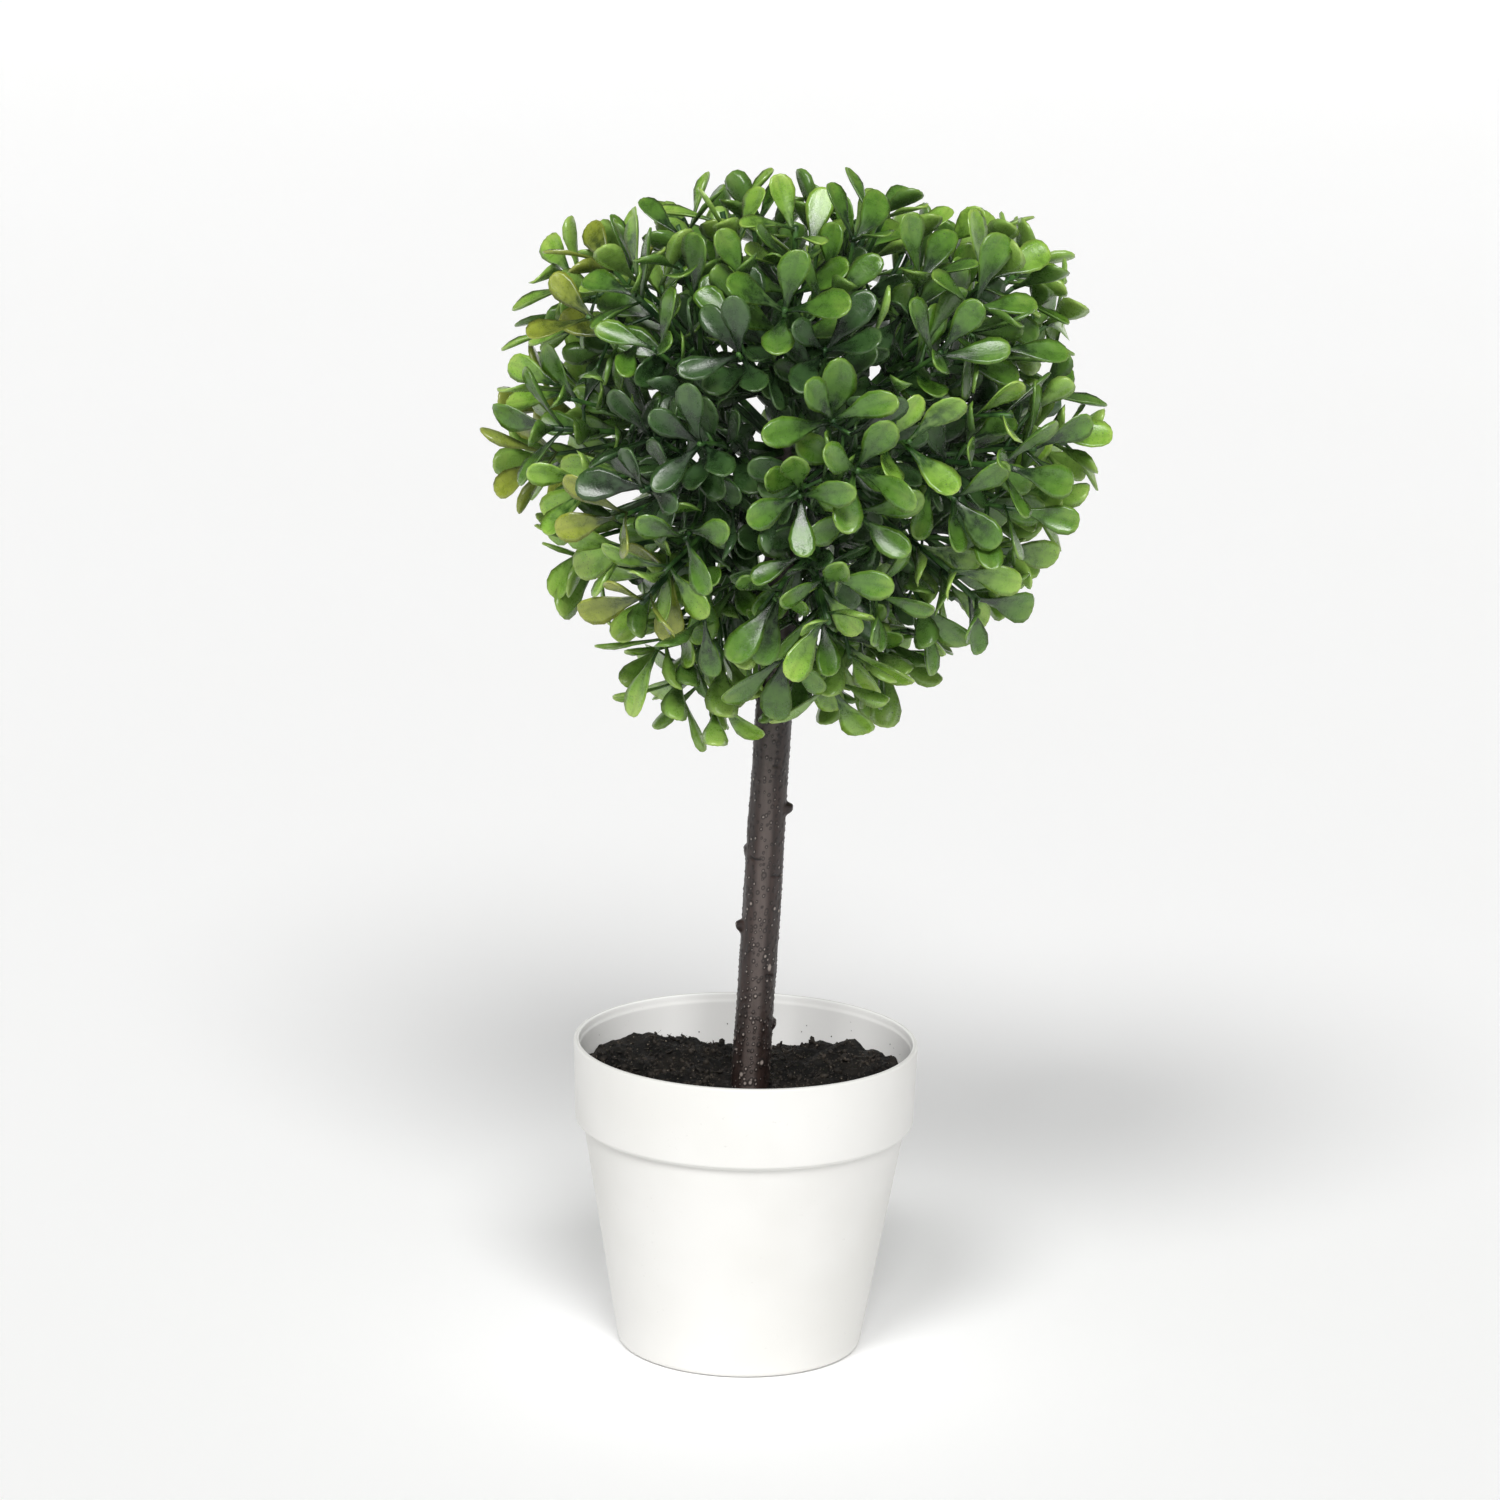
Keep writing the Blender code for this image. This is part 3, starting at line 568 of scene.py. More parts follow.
# From which rarity on a pore is a big one, and how many times as large.
BIG_PORE_FROM, BIG_PORE = 0.82, 1.9
# How far a pore strays from the middle of its cell, across and along, and how much rarer pores get upwards.
PORE_STRAYS, PORES_THERE, PORES_RARER, PORES_RARER_FROM = (0.33, 0.38), 0.55, 0.9, 0.3
PORES_PALE_UP_TO, PORE_SEED = 125.0 * MM, 31
STICK_ROWS, STICK_TURNS = 560, 104
CAP_MAP_RADIUS = 0.004


def pores(height, bearing):
    """Three numbers for each spot: how far up a raised pore, how near to its middle, and how pale it is.

    The bark is ruled into cells, each cell may hold one pore at a random place in it, and every spot looks
    at the nine cells round it. A pore is a bell-shaped rise with a dimple in the larger ones. Low on the
    stick most have a pale tip, partly the pore's own colour and partly a painted highlight, and fewer do
    further up.
    """
    across, along = bearing / math.tau * PORE_CELLS, height / PORE_ROWS_APART
    cell = together(np.floor(across), np.floor(along)).astype(np.int64)
    rise, near, pale = np.zeros((3, *height.shape))
    for step in np.ndindex(3, 3):
        spot = cell + step - 1
        key = together(spot[..., 0] % PORE_CELLS, spot[..., 1])
        chance, shift, lift, growth, rarity, fade = (lattice_number(key, PORE_SEED + k) for k in range(6))
        big = rarity > BIG_PORE_FROM
        size = (PORE_SIZE + PORE_SPREAD * growth) * MM * np.where(big, BIG_PORE, 1)
        off_across = across - spot[..., 0] - 0.5 - PORE_STRAYS[0] * shift
        off_along = along - spot[..., 1] - 0.5 - PORE_STRAYS[1] * lift
        off_across = off_across * math.tau * STICK_FOOT_RADIUS / PORE_CELLS
        far = np.hypot(off_across, off_along * PORE_ROWS_APART * PORE_SQUEEZE) / size
        there = chance < PORES_THERE - PORES_RARER * (height / CROWN_MIDDLE[2] - PORES_RARER_FROM)
        bell = np.exp(-far * far) * there
        rise = np.maximum(rise, np.where(big, 1.5 * bell * far, bell))
        near = np.maximum(near, bell)
        pale_share = 1.1 - (height - SOIL_LEVEL) / PORES_PALE_UP_TO + 0.5 * fade
        pale = np.maximum(pale, bell * np.clip(pale_share, 0, 1))
    return rise, near, pale


def round_from(bearing, middle, half):
    """How far round the stick a bearing lies from a middle, either way about, in half widths."""
    off = bearing - math.radians(middle)
    return np.arctan2(np.sin(off), np.cos(off)) / math.radians(half)


def bark(height, bearing):
    """The stick's radius and its marks at heights and bearings.

    The radius is an even taper, plus a stub for each knot, abrupt above and sloping below, long shallow
    furrows, fine wrinkles and pores, less a sharp groove at each crack.
    """
    share = (height - STICK_FOOT[2]) / (CROWN_MIDDLE[2] - STICK_FOOT[2])
    radius = STICK_FOOT_RADIUS + (STICK_HEAD_RADIUS - STICK_FOOT_RADIUS) * share
    knot, crack, painted_sheen = np.zeros((3, *height.shape))
    for knot_height, knot_bearing, proud in KNOTS:
        up = height - knot_height
        up = up / np.where(up > 0, KNOT_ABOVE, KNOT_BELOW)
        far = round_from(bearing, knot_bearing, KNOT_HALF_ANGLE) ** 2 + up * up
        knot += proud * np.exp(-far * far)
    spots = round_axis(STICK_FOOT_RADIUS, bearing, height)
    furrows, waves, wrinkles = (
        soft_noise((spots * (1, 1, upright)).reshape(-1, 3), cell, seed).reshape(height.shape)
        for upright, cell, seed in RELIEF_NOISES
    )
    rise, pore, pale = pores(height, bearing)
    for crack_height, crack_bearing, half in CRACKS:
        off = round_from(bearing, crack_bearing, half)
        wander = 0.10 * MM * np.sin(4 * off + crack_bearing) - 0.25 * MM * off
        up = (height - crack_height - wander) / CRACK_WIDTH
        crack = np.maximum(crack, np.exp(-up * up) * np.clip(1 - off ** 4, 0, 1))
    scrape_height, tall, scrape_bearing, wide = SCRAPE
    far = round_from(bearing, scrape_bearing, wide) ** 2 + ((height - scrape_height) / tall) ** 2
    pale = np.maximum(pale, 0.8 * np.exp(-far * far))
    # Painted sheen: greyer bands that stand in for the gloss stripe of the light on the bark.
    for sheen_bearing, half, depth in PAINTED_SHEEN_BANDS:
        off = round_from(bearing + 0.12 * waves, sheen_bearing, half)
        painted_sheen = np.maximum(painted_sheen, depth * np.exp(-off ** 4))
    marks = {"pore": pore, "pale": pale, "crack": crack, "knot": knot / MM, "painted_sheen": painted_sheen}
    relief = FURROWS * furrows + WAVES * waves + WRINKLES * wrinkles + PORES * rise - CRACK_DEPTH * crack
    return radius + knot + relief, marks


# %% The bark as a grid of rings
stick_height = np.linspace(STICK_FOOT[2] - STICK_SUNK, CROWN_MIDDLE[2] + STICK_OVER, STICK_ROWS)
rows, around = np.meshgrid(stick_height, math.tau * np.arange(STICK_TURNS) / STICK_TURNS, indexing="ij")
stick_radius, stick_marks = bark(rows, around)
over = np.clip((rows - CROWN_MIDDLE[2]) / STICK_OVER, 0, 1)
stick_radius = stick_radius * np.sqrt(1 - 0.9 * over * over)
lean = (CROWN_MIDDLE - STICK_FOOT) / (CROWN_MIDDLE[2] - STICK_FOOT[2])
stick_axis = STICK_FOOT + (rows - STICK_FOOT[2])[..., None] * lean
outwards = round_axis(1.0, around, 0.0)
stick_points = stick_axis + stick_radius[..., None] * outwards
stick_faces = tubes(1, STICK_ROWS, STICK_TURNS)
column, row = stick_faces[0] % STICK_TURNS, stick_faces[0] // STICK_TURNS
column[:, 1:3] = column[:, :1] + 1
bands_uv = together(column / STICK_TURNS, row / (STICK_ROWS - 1))
caps_uv = np.tile(0.5 + CAP_MAP_RADIUS * outwards[0, :, :2], (2, 1))
stick_uv = np.concatenate([bands_uv.reshape(-1, 2), caps_uv])

# %% [markdown]
# ## Bark
# Young bark is thin and shiny. Its brown runs in long streaks, the pores are paler, partly their own colour
# and partly a painted highlight, and the cracks and the foot of each knot are nearly black. Greyer bands up
# the stick are a painted sheen. The streaks are noise stretched along the stick. Pores, cracks and knots come
# from numbers that the mesh carries, so colour and relief agree.

# %% The bark's finish, and the stick
def brown_bark():
    """Brown in streaks and patches, then each mark that the mesh carries, laid over the last."""
    finish = Finish("brown_bark", IOR=1.5)
    streaks = finish.noise(finish.place((1, 1, 0.14)), 900.0, 3.0, 0.6)
    patches = finish.noise(finish.place((1, 1, 0.5)), 130.0, 3.0, 0.6)
    grain = finish.noise(finish.place((1, 1, 0.6)), 3200.0, 2.0, 0.6)
    pore = finish.mark("pore")
    brown = finish.layers(
        color(34, 24, 21),
        (streaks.step(0.3, 0.72), color(54, 40, 36)),
        (patches.step(0.52, 0.75) * 0.35, color(76, 67, 63)),
        # Painted sheen: greyer where the bands painted along the bark lie.
        (finish.mark("painted_sheen") * (streaks * 0.5 + 0.45), color(98, 88, 84)),
        (pore.step(0.02, 0.12) * pore.step(0.7, 0.35) * 0.65, color(15, 11, 10)),
        # Pale pores, partly their own colour and partly a painted highlight, and the pale scrape.
        (finish.mark("pale").step(0.35, 0.85) * 0.8, color(172, 160, 152)),
        (finish.mark("crack").step(0.2, 0.8) * 0.9, color(20, 15, 14)),
        (finish.mark("knot").step(0.15, 0.8) * 0.5, color(38, 30, 28)),
    )
    return finish.coat(brown, streaks * 0.2 + patches * 0.2 + 0.22, grain * 0.6 + streaks * 0.4, 0.05 * MM)


piece("stick_bark", stick_points, stick_faces, brown_bark(), "stick_bark", ["trunk"], uv=stick_uv,
      marks={name: values.ravel() for name, values in stick_marks.items()})

# %% [markdown]
# ## How the crown grows
# The real crown is some thirty moulded sprays, plugged into the head of the stick. Each has a stem, side
# shoots, and leaves in pairs, each pair square to the last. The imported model's sprays grew by a rule with a
# seed. The same rule is written here again, so that the same leaves stand at the same places.

# %% The crown's sizes
SEED = 16
# Ring, its elevation in degrees, how many sprays, and the first one's bearing.
SPRAY_RINGS = (("top", 70, 3, 30), ("shoulder", 37, 7, 12), ("side", 4, 9, 0), ("under", -30, 7, 20),
               ("hanging", -62, 4, 25))
SPRAY_WANDER = 4.0
REACH_ELEVATIONS = (-90, -62, -45, -22, 0, 35, 62, 90)
REACH_LENGTHS = (0.073, 0.074, 0.069, 0.074, 0.078, 0.0835, 0.0745, 0.067)
REACH_SPREAD = 0.06
LOPSIDE = 0.035
DROOPING_SPRAY, DROOP = "spray_hanging_3", 1.08
GAP = 0.3 * MM
SPACE_MARGIN = 0.17 * MM
STICK_CLEARANCE = 0.6 * MM
STEM_RADIUS = 1.3 * MM
# How far along the stem each pair of shoots starts, and the share of the cone's width that it fans out to.
SHOOT_PAIRS = ((0.34, 0.62), (0.56, 0.55))
SHOOT_BOW_PLACE, SHOOT_BOW = 0.45, 0.16
SHOOT_DEPTHS = (0.0, 0.009)
SHOOT_TURN, LEAF_TURN = 0.2, 0.4
LEAF_LENGTH, LEAF_LENGTH_SPREAD = 16.5 * MM, 0.12
LEAF_LEAN, LEAF_LEAN_SPREAD = 50.0, 9.0
LEAF_WIDTH_SHARE, LEAF_WIDEST, LEAF_TIP_SHARE = 0.49, 0.68, 0.42
LEAF_CUP = 0.9 * MM
LEAF_ROOM = 2.1 * MM
LEAF_SAMPLES = (0.35, 0.6, 0.8)
# Turn about the shoot and change of lean in degrees, tried one after the other.
LEAF_TRIES = ((0, 0), (16, -6), (-16, -6), (32, -14), (-32, -14), (0, -22), (14, -34), (-14, -34))
PAIR_SETBACKS = (0.0010, 0.0034, 0.0125)
TWIG_SAMPLES = np.array((0.25, 0.5, 0.75, 1.0))[:, None]

# %% Directions, and how far the crown reaches in each
def toward(bearing, elevation):
    """The unit vector at a bearing and an elevation in degrees."""
    b, e = math.radians(bearing), math.radians(elevation)
    return np.array((math.cos(e) * math.cos(b), math.cos(e) * math.sin(b), math.sin(e)))


def between(first, second, angle):
    """The direction that lies an angle from the first towards the second, which is square to it."""
    return first * math.cos(angle) + second * math.sin(angle)


def crosswise(axis):
    """Two unit vectors square to an axis and to each other, the first level unless the axis is steep."""
    first = unit(np.cross((0.0, 0.0, 1.0) if abs(axis[2]) < STEEP else (1.0, 0.0, 0.0), axis))
    return first, np.cross(axis, first)


def crown_reach(headings):
    """The reach of the leaf tips: a curve through lengths by elevation, a little more towards +X."""
    elevations = np.degrees(np.arcsin(np.clip(headings[..., 2], -1, 1)))
    return np.interp(elevations, REACH_ELEVATIONS, REACH_LENGTHS) * (1 + LOPSIDE * headings[..., 0])


def spray_headings():
    """Name and heading of every spray, ring by ring, each moved a little off its even place."""
    rng = random.Random(SEED)
    headings = {}
    for ring, elevation, count, first in SPRAY_RINGS:
        for k in range(count):
            bearing = first + 360 * k / count + rng.uniform(-SPRAY_WANDER, SPRAY_WANDER)
            tilt = elevation + rng.uniform(-SPRAY_WANDER, SPRAY_WANDER)
            headings[f"spray_{ring}_{k + 1}"] = toward(bearing, tilt)
    return headings

# %% The space that a spray keeps to, and what stands in it
STICK_AXIS = unit(CROWN_MIDDLE - STICK_FOOT - (0, 0, GAP))


class Crowd:
    """Groups of points on what stands there. Only those whose middle is within near of a newcomer's count."""

    def __init__(self, near=math.inf):
        self.near = near
        self.middles = []
        self.groups = []

    def add(self, points):
        self.middles.append(points.mean(axis=0))
        self.groups.append(points)

    def takes(self, points, room):
        """Adds the points if all that count are farther off than the room, and says whether it did."""
        near = np.linalg.norm(np.array(self.middles) - points.mean(axis=0), axis=1) < self.near
        there = [self.groups[k] for k in np.nonzero(near)[0]]
        if there and np.linalg.norm(points[:, None] - np.concatenate(there), axis=2).min() <= room:
            return False
        self.add(points)
        return True


class OwnSpace:
    """The cone nearer in heading to this spray than to any other, within reach and clear of the stick."""

    def __init__(self, heading, others, reach_factor):
        self.heading = heading
        self.walls = np.array([unit(heading - other) for other in others])
        self.reach_factor = reach_factor
        self.taken = Crowd()

    def fan_limit(self, sideways):
        """The angle from the heading at which the cone ends in a sideways direction."""
        across = self.walls @ sideways
        along = self.walls @ self.heading
        return min(math.atan2(a, -c) for a, c in zip(along, across) if c < 0)

    def holds(self, points, loose=0.0, within=1.0):
        """Whether all the points lie in the cone, within that share of the reach and clear of the stick.

        loose lets them pass the cone's walls by that much.
        """
        rel = points - CROWN_MIDDLE
        far = np.linalg.norm(rel, axis=1)
        along = rel @ STICK_AXIS
        out = np.linalg.norm(rel - np.outer(along, STICK_AXIS), axis=1)
        return (
            (rel @ self.walls.T).min() >= SPACE_MARGIN - loose
            and far.min() >= STICK_HEAD_RADIUS + GAP
            and np.all(far <= crown_reach(rel / far[:, None]) * self.reach_factor * within)
            and not np.any((along < 0) & (out < STICK_FOOT_RADIUS + STICK_CLEARANCE))
        )

# %% One leaf's place, and how the rule finds it
# Where a leaf starts, the way it grows, the way its face looks, the way across it, and how long it is.
Leaf = namedtuple("Leaf", "root axis face across length")


def samples(leaf):
    """Points round a leaf's blade and along its middle, close enough to tell what it would touch."""
    root, axis, face, across, length = leaf
    tip = root + axis * length
    middle = root + axis * length * LEAF_WIDEST + face * LEAF_CUP
    half = across * (length * LEAF_WIDTH_SHARE / 2)
    left, right = middle - half, middle + half
    tip_left, tip_right = tip - half * LEAF_TIP_SHARE, tip + half * LEAF_TIP_SHARE
    ribs = [root + (end - root) * share for share in LEAF_SAMPLES for end in (left, right, tip)]
    rim = (left + tip_left) / 2, (right + tip_right) / 2
    return np.array((left, right, tip_left, tip_right, tip, *ribs, *rim))


def grow_leaf(root, shoot_axis, roll, rng, fits, length=LEAF_LENGTH, lean=LEAF_LEAN):
    """A list of one leaf off a shoot at a roll about it, turned or raised until it fits, or of none."""
    first, second = crosswise(shoot_axis)
    length = length * (1 + rng.uniform(-LEAF_LENGTH_SPREAD, LEAF_LENGTH_SPREAD))
    lean = lean + rng.uniform(-LEAF_LEAN_SPREAD, LEAF_LEAN_SPREAD)
    for turn, ease in LEAF_TRIES:
        out = between(first, second, roll + math.radians(turn))
        angle = math.radians(lean + ease)
        face = shoot_axis * math.sin(angle) - out * math.cos(angle)
        axis = between(shoot_axis, out, angle)
        leaf = Leaf(root, axis, face, np.cross(face, axis), length)
        if fits(samples(leaf)):
            return [leaf]
    return []


def back_from_tip(path, setback):
    """The point that far back from a path's tip, and the path's direction there."""
    lengths = np.linalg.norm(np.diff(path, axis=0), axis=1)
    for step in reversed(range(len(lengths))):
        axis = unit(path[step + 1] - path[step])
        if setback <= lengths[step] or step == 0:
            return path[step + 1] - axis * setback, axis
        setback -= lengths[step]

# %% One spray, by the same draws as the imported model's
def stem_start(heading):
    """Where a stem meets the stick: just clear of its head or of its side, along the heading."""
    along = float(heading @ STICK_AXIS)
    distance = STICK_HEAD_RADIUS + GAP
    if along < 0:
        distance = (distance - STEM_RADIUS * along) / math.sqrt(1 - along * along)
    return CROWN_MIDDLE + heading * distance


def grow_spray(name, heading, others):
    """The spray's space, the bends of its stem and side shoots, their rolls, and the leaves of each."""
    rng = random.Random(f"{SEED} {name}")
    space = OwnSpace(heading, others, DROOP if name == DROOPING_SPRAY else 1.0)
    tip_reach = LEAF_LENGTH * math.cos(math.radians(LEAF_LEAN))
    first, second = crosswise(heading)

    def shoot_end(line, depth):
        """The end of a shoot's curve, which leaves room for the leaves at its tip."""
        reach = crown_reach(line) * space.reach_factor * (1 - rng.uniform(0, REACH_SPREAD))
        return CROWN_MIDDLE + line * (reach - tip_reach - depth)

    def fits(points):
        return space.holds(points) and space.taken.takes(points, LEAF_ROOM)

    roll = rng.uniform(0, math.tau)
    start, end = stem_start(heading), shoot_end(heading, 0.0)
    sway = (first * rng.uniform(-1, 1) + second * rng.uniform(-1, 1)) * STEM_RADIUS
    bends = [(start, (start + end) / 2 + sway, end)]
    rolls = [roll + math.pi / 4]
    for node, (share, fan) in enumerate(SHOOT_PAIRS):
        root = start + (end - start) * share + sway * 2 * share * (1 - share)
        for side in range(2):
            turn = roll + math.pi / 2 * node + math.pi * side + rng.uniform(-SHOOT_TURN, SHOOT_TURN)
            out = between(first, second, turn)
            line = between(heading, out, space.fan_limit(out) * fan)
            tip = shoot_end(line, rng.uniform(*SHOOT_DEPTHS))
            bend = root + (tip - root) * SHOOT_BOW_PLACE + out * np.linalg.norm(tip - root) * SHOOT_BOW
            bends.append((root, bend, tip))
            rolls.append(turn + rng.uniform(-LEAF_TURN, LEAF_TURN))
    paths = [curved(*bend, 3) for bend in bends]
    for path in paths:
        space.taken.add((path[:-1, None] + np.diff(path, axis=0)[:, None] * TWIG_SAMPLES).reshape(-1, 3))
    leaves = [[] for _ in paths]
    for path, turn, grown in zip(paths, rolls, leaves):
        for pair, setback in enumerate(PAIR_SETBACKS):
            root, axis = back_from_tip(path, setback)
            for side in range(2):
                grown += grow_leaf(root, axis, turn + math.pi / 2 * pair + math.pi * side, rng, fits)
    return space, bends, rolls, leaves


headings = spray_headings()
grown_sprays = {}
for name, heading in headings.items():
    others = [other for key, other in headings.items() if key != name]
    grown_sprays[name] = grow_spray(name, heading, others)
print(f"{sum(len(leaf) for s in grown_sprays.values() for leaf in s[3])} leaves as in the solids")

# %% [markdown]
# ## Finer twigs
# Between the main leaves the real sprays carry more, on short side twigs. A twig is tried at each place
# along each shoot, and kept only where its leaves find room. Neighbours from two sprays may mingle here,
# while solids had to stay apart, so a few points on every leaf are known to all. Seen from the front, the
# real crown is open in places, mostly low on the left, and the finer leaves keep out of those.

# %% What stands in the crown already, and where it stays open
FINE_ROOM = 1.85 * MM
FINE_NEAR = 15 * MM
FINE_LOOSE = 2.0 * MM
FINE_REACH = 0.955
FINE_LEAF_LENGTH, FINE_LEAF_LEAN = 15.4 * MM, 56.0
FINE_TURN = 0.5
EXTRA_SETBACKS = (0.0195, 0.0270)
TWIG_SETBACKS = (0.0085, 0.0165, 0.0245, 0.0325)
TWIG_LEANS = (45.0, 88.0)
TWIG_LENGTHS = (0.0050, 0.0125)
# In millimetres: how far a twig is bent, and how far below its tip the second pair of leaves sits.
TWIG_BOW, SECOND_PAIR = 0.6, 1.8
CAMERA_PITCH = math.radians(13.87)
SEEN_UP = np.array((0.0, math.sin(CAMERA_PITCH), math.cos(CAMERA_PITCH)))
# Across and up from the crown's middle as the camera sees it, half width and half height in millimetres.
SKY_GAPS = np.array((
    (-57, -3, 7, 4), (-65, 12, 8, 4), (-42, -33, 4, 7), (-57, -21, 7, 4), (-40, -13, 4, 3),
    (1, -57, 4, 6), (42, -34, 7, 3), (-11, 63, 7, 4),
)) * MM


def in_sky_gap(points):
    """Whether a point lies in a gap: its offsets from the middle, over the half sizes, squared and added."""
    rel = points - CROWN_MIDDLE
    off = (together(rel[:, 0], rel @ SEEN_UP)[:, None] - SKY_GAPS[:, :2]) / SKY_GAPS[:, 2:]
    return np.any((off * off).sum(axis=2) < 1)


crowd = Crowd(FINE_NEAR)
for space, bends, rolls, leaves in grown_sprays.values():
    for leaf in sum(leaves, []):
        crowd.add(samples(leaf))
    for bend in bends:
        crowd.add(curved(*bend, 9)[3:])

# %% Twigs off every shoot, with two pairs of leaves, and more pairs on the shoots
def finer_twigs(name):
    """The short twigs of a spray, and the groups of further leaves on its shoots and on those twigs."""
    rng = random.Random(f"{SEED} {name} finer")
    space, bends, rolls, _ = grown_sprays[name]
    twigs, leaves = [], []

    def fits(points):
        inside = not in_sky_gap(points) and space.holds(points, FINE_LOOSE, FINE_REACH)
        return inside and crowd.takes(points, FINE_ROOM)

    def pair(root, axis, turns):
        """What grows at a root of a leaf at each turn. A turn is drawn just before its leaf is."""
        return sum((grow_leaf(root, axis, turn, rng, fits, FINE_LEAF_LENGTH, FINE_LEAF_LEAN)
                    for turn in turns), [])

    def turns_at(k, roll):
        """The turns of both leaves of pair k, each a little off the even one."""
        for side in range(2):
            yield roll + math.pi * (side + 0.5 * k) + rng.uniform(-FINE_TURN, FINE_TURN)

    for bend, roll in zip(bends, rolls):
        path = curved(*bend, 12)
        for k, setback in enumerate(EXTRA_SETBACKS):
            leaves.append(pair(*back_from_tip(path, setback), turns_at(k, roll)))
        for k, setback in enumerate(TWIG_SETBACKS):
            root, axis = back_from_tip(path, setback)
            for turn in turns_at(k + 0.5, roll):
                lean = math.radians(rng.uniform(*TWIG_LEANS))
                out = between(*crosswise(axis), turn)
                way = between(axis, out, lean)
                tip = root + way * rng.uniform(*TWIG_LENGTHS)
                kin = pair(tip, way, [turn + math.pi * (side + 0.5) for side in range(2)])
                if kin:
                    kin += pair(tip - way * SECOND_PAIR * MM, way, [turn, turn + math.pi])
                    twigs.append((root, (root + tip) / 2 + out * TWIG_BOW * MM, tip))
                    leaves.append(kin)
    return twigs, leaves


finer = {name: finer_twigs(name) for name in headings}
twigs = sum((found for found, _ in finer.values()), [])
further = [leaf for _, groups in finer.values() for kin in groups for leaf in kin]
print(f"{len(twigs)} finer twigs, {len(further)} further leaves")

# %% [markdown]
# ## Tints dealt out by spray
# The real leaves aren't one green: most are a fresh mid green, some are deep and bluish, some lighter, and a
# few at the surface are olive. Which tint a group gets is partly a draw and partly painted light and shade:
# those inside the ball and at its left front are deep as painted shade, and those that stand out at both
# sides, at the back left and underneath are lighter as painted light. Each group of leaves on one shoot or
# twig gets one tint, by place and a draw.

# %% Which tint a group of leaves gets
TINTS = ("deep", "mid", "light", "olive")
SHADED_SIDE, SUNNY_SIDE = toward(246, 16), toward(150, 30)
DEEP_BELOW, LIGHT_FROM, OLIVE_FROM = 0.24, 0.58, 0.83
BLADE_PLACE = 0.6
# What the score starts from, how far the draw spreads it, and the weights of the way out and each direction.
SCORE_START, SCORE_DRAW = 0.45, 0.17
OUT_WEIGHT, OUT_MIDDLE = 2.1, 0.79
SUNNY_WEIGHT, SHADED_WEIGHT, UNDER_WEIGHT, SIDES_WEIGHT = 0.13, 0.60, 0.22, 0.18
# The share of olive anywhere, and how much more of it at the left and on top.
OLIVE, OLIVE_LEFT, OLIVE_TOP = 0.06, 0.20, 0.08


def tint_of(kin, rng):
    """0 to 3: a score from how far out the group stands, which way it looks and a draw, cut at two marks.

    The score rises with the way out, to the sunny side, to both sides and underneath, and falls to the shaded
    side, so that deeper tints are painted shade and lighter ones painted light. Some of the outermost groups
    are olive whatever their score, more of them at the left and on top.
    """
    rel = np.mean([leaf.root + leaf.axis * leaf.length * BLADE_PLACE for leaf in kin], axis=0) - CROWN_MIDDLE
    far = np.linalg.norm(rel)
    way = rel / far
    out = far / crown_reach(way)
    # Painted shade inwards and to the shaded side, painted light outwards, to the sunny side, the sides and
    # under.
    score = OUT_WEIGHT * (out - OUT_MIDDLE) + SUNNY_WEIGHT * (way @ SUNNY_SIDE)
    score -= SHADED_WEIGHT * max(0.0, way @ SHADED_SIDE) ** 6
    score += rng.gauss(0, SCORE_DRAW) + SCORE_START
    score += UNDER_WEIGHT * max(0.0, -way[2]) + SIDES_WEIGHT * way[0] ** 2
    olive = OLIVE + OLIVE_LEFT * max(0.0, -way[0]) + OLIVE_TOP * max(0.0, way[2])
    if out > OLIVE_FROM and rng.random() < olive:
        return 3
    return 0 if score < DEEP_BELOW else 1 if score < LIGHT_FROM else 2


tinted = [[] for _ in TINTS]
for name in headings:
    rng = random.Random(f"{SEED} {name} tint")
    for kin in grown_sprays[name][3] + finer[name][1]:
        if kin:
            tinted[tint_of(kin, rng)].extend((name, leaf) for leaf in kin)
print({tint: len(group) for tint, group in zip(TINTS, tinted)})

# %% [markdown]
# ## One leaf
# The real leaf is a thick spoon of soft plastic, about 16 mm long: a narrow stalk, and a round blade that is
# hollow above, with a crease along the middle. A flat card would show as one at this distance. A closed loop
# of seven points carried along the leaf gives the thickness and the spoon, for all leaves of a tint at once.

# %% The leaf's outline and section as shares
LEAF_ROWS = np.array((-0.02, 0.18, 0.37, 0.55, 0.72, 0.87, 0.958, 0.994))
# Round the section: across from edge to edge, up from the underside to the face, and the crease.
SECTION_ACROSS = np.array((1.0, 0.66, 0.0, -0.66, -1.0, -0.5, 0.5))
SECTION_UP = np.array((0.0, 1.0, 1.0, 1.0, 0.0, -1.0, -1.0))
SECTION_MIDDLE = np.array((0, 0, 1, 0, 0, 0, 0))
LEAF_SHAPE = len(LEAF_ROWS), len(SECTION_ACROSS)
STALK_WIDTH, STALK_END = 0.17, 0.10
BLADE_WIDEST, SWELL_POWER, TIP_POWER = 0.74, 1.3, 2.3
STALK_THICK, BLADE_THICK = 0.52 * MM, 0.36 * MM
CREASE = 0.30 * MM
# Least and most of the width and of the cup, mean and spread of the bend, spreads of twist and sideways bend.
WIDTHS, CUPS, BENDS = (0.80, 1.0), (0.8, 1.8), (-0.09, 0.10)
TWIST, SICKLE = 0.3, 0.06
# The blade's thickness is reached at this share of the length. Below this share of the width it thins by the
# root of how much narrower it is, but of no less than the last share.
THICK_UNTIL, FULL_THICK_WIDTH, LEAST_THICK = 0.5, 0.45, 0.35
# The square of the way across at which the cup is level with the axis.
CUP_MIDDLE = 0.34


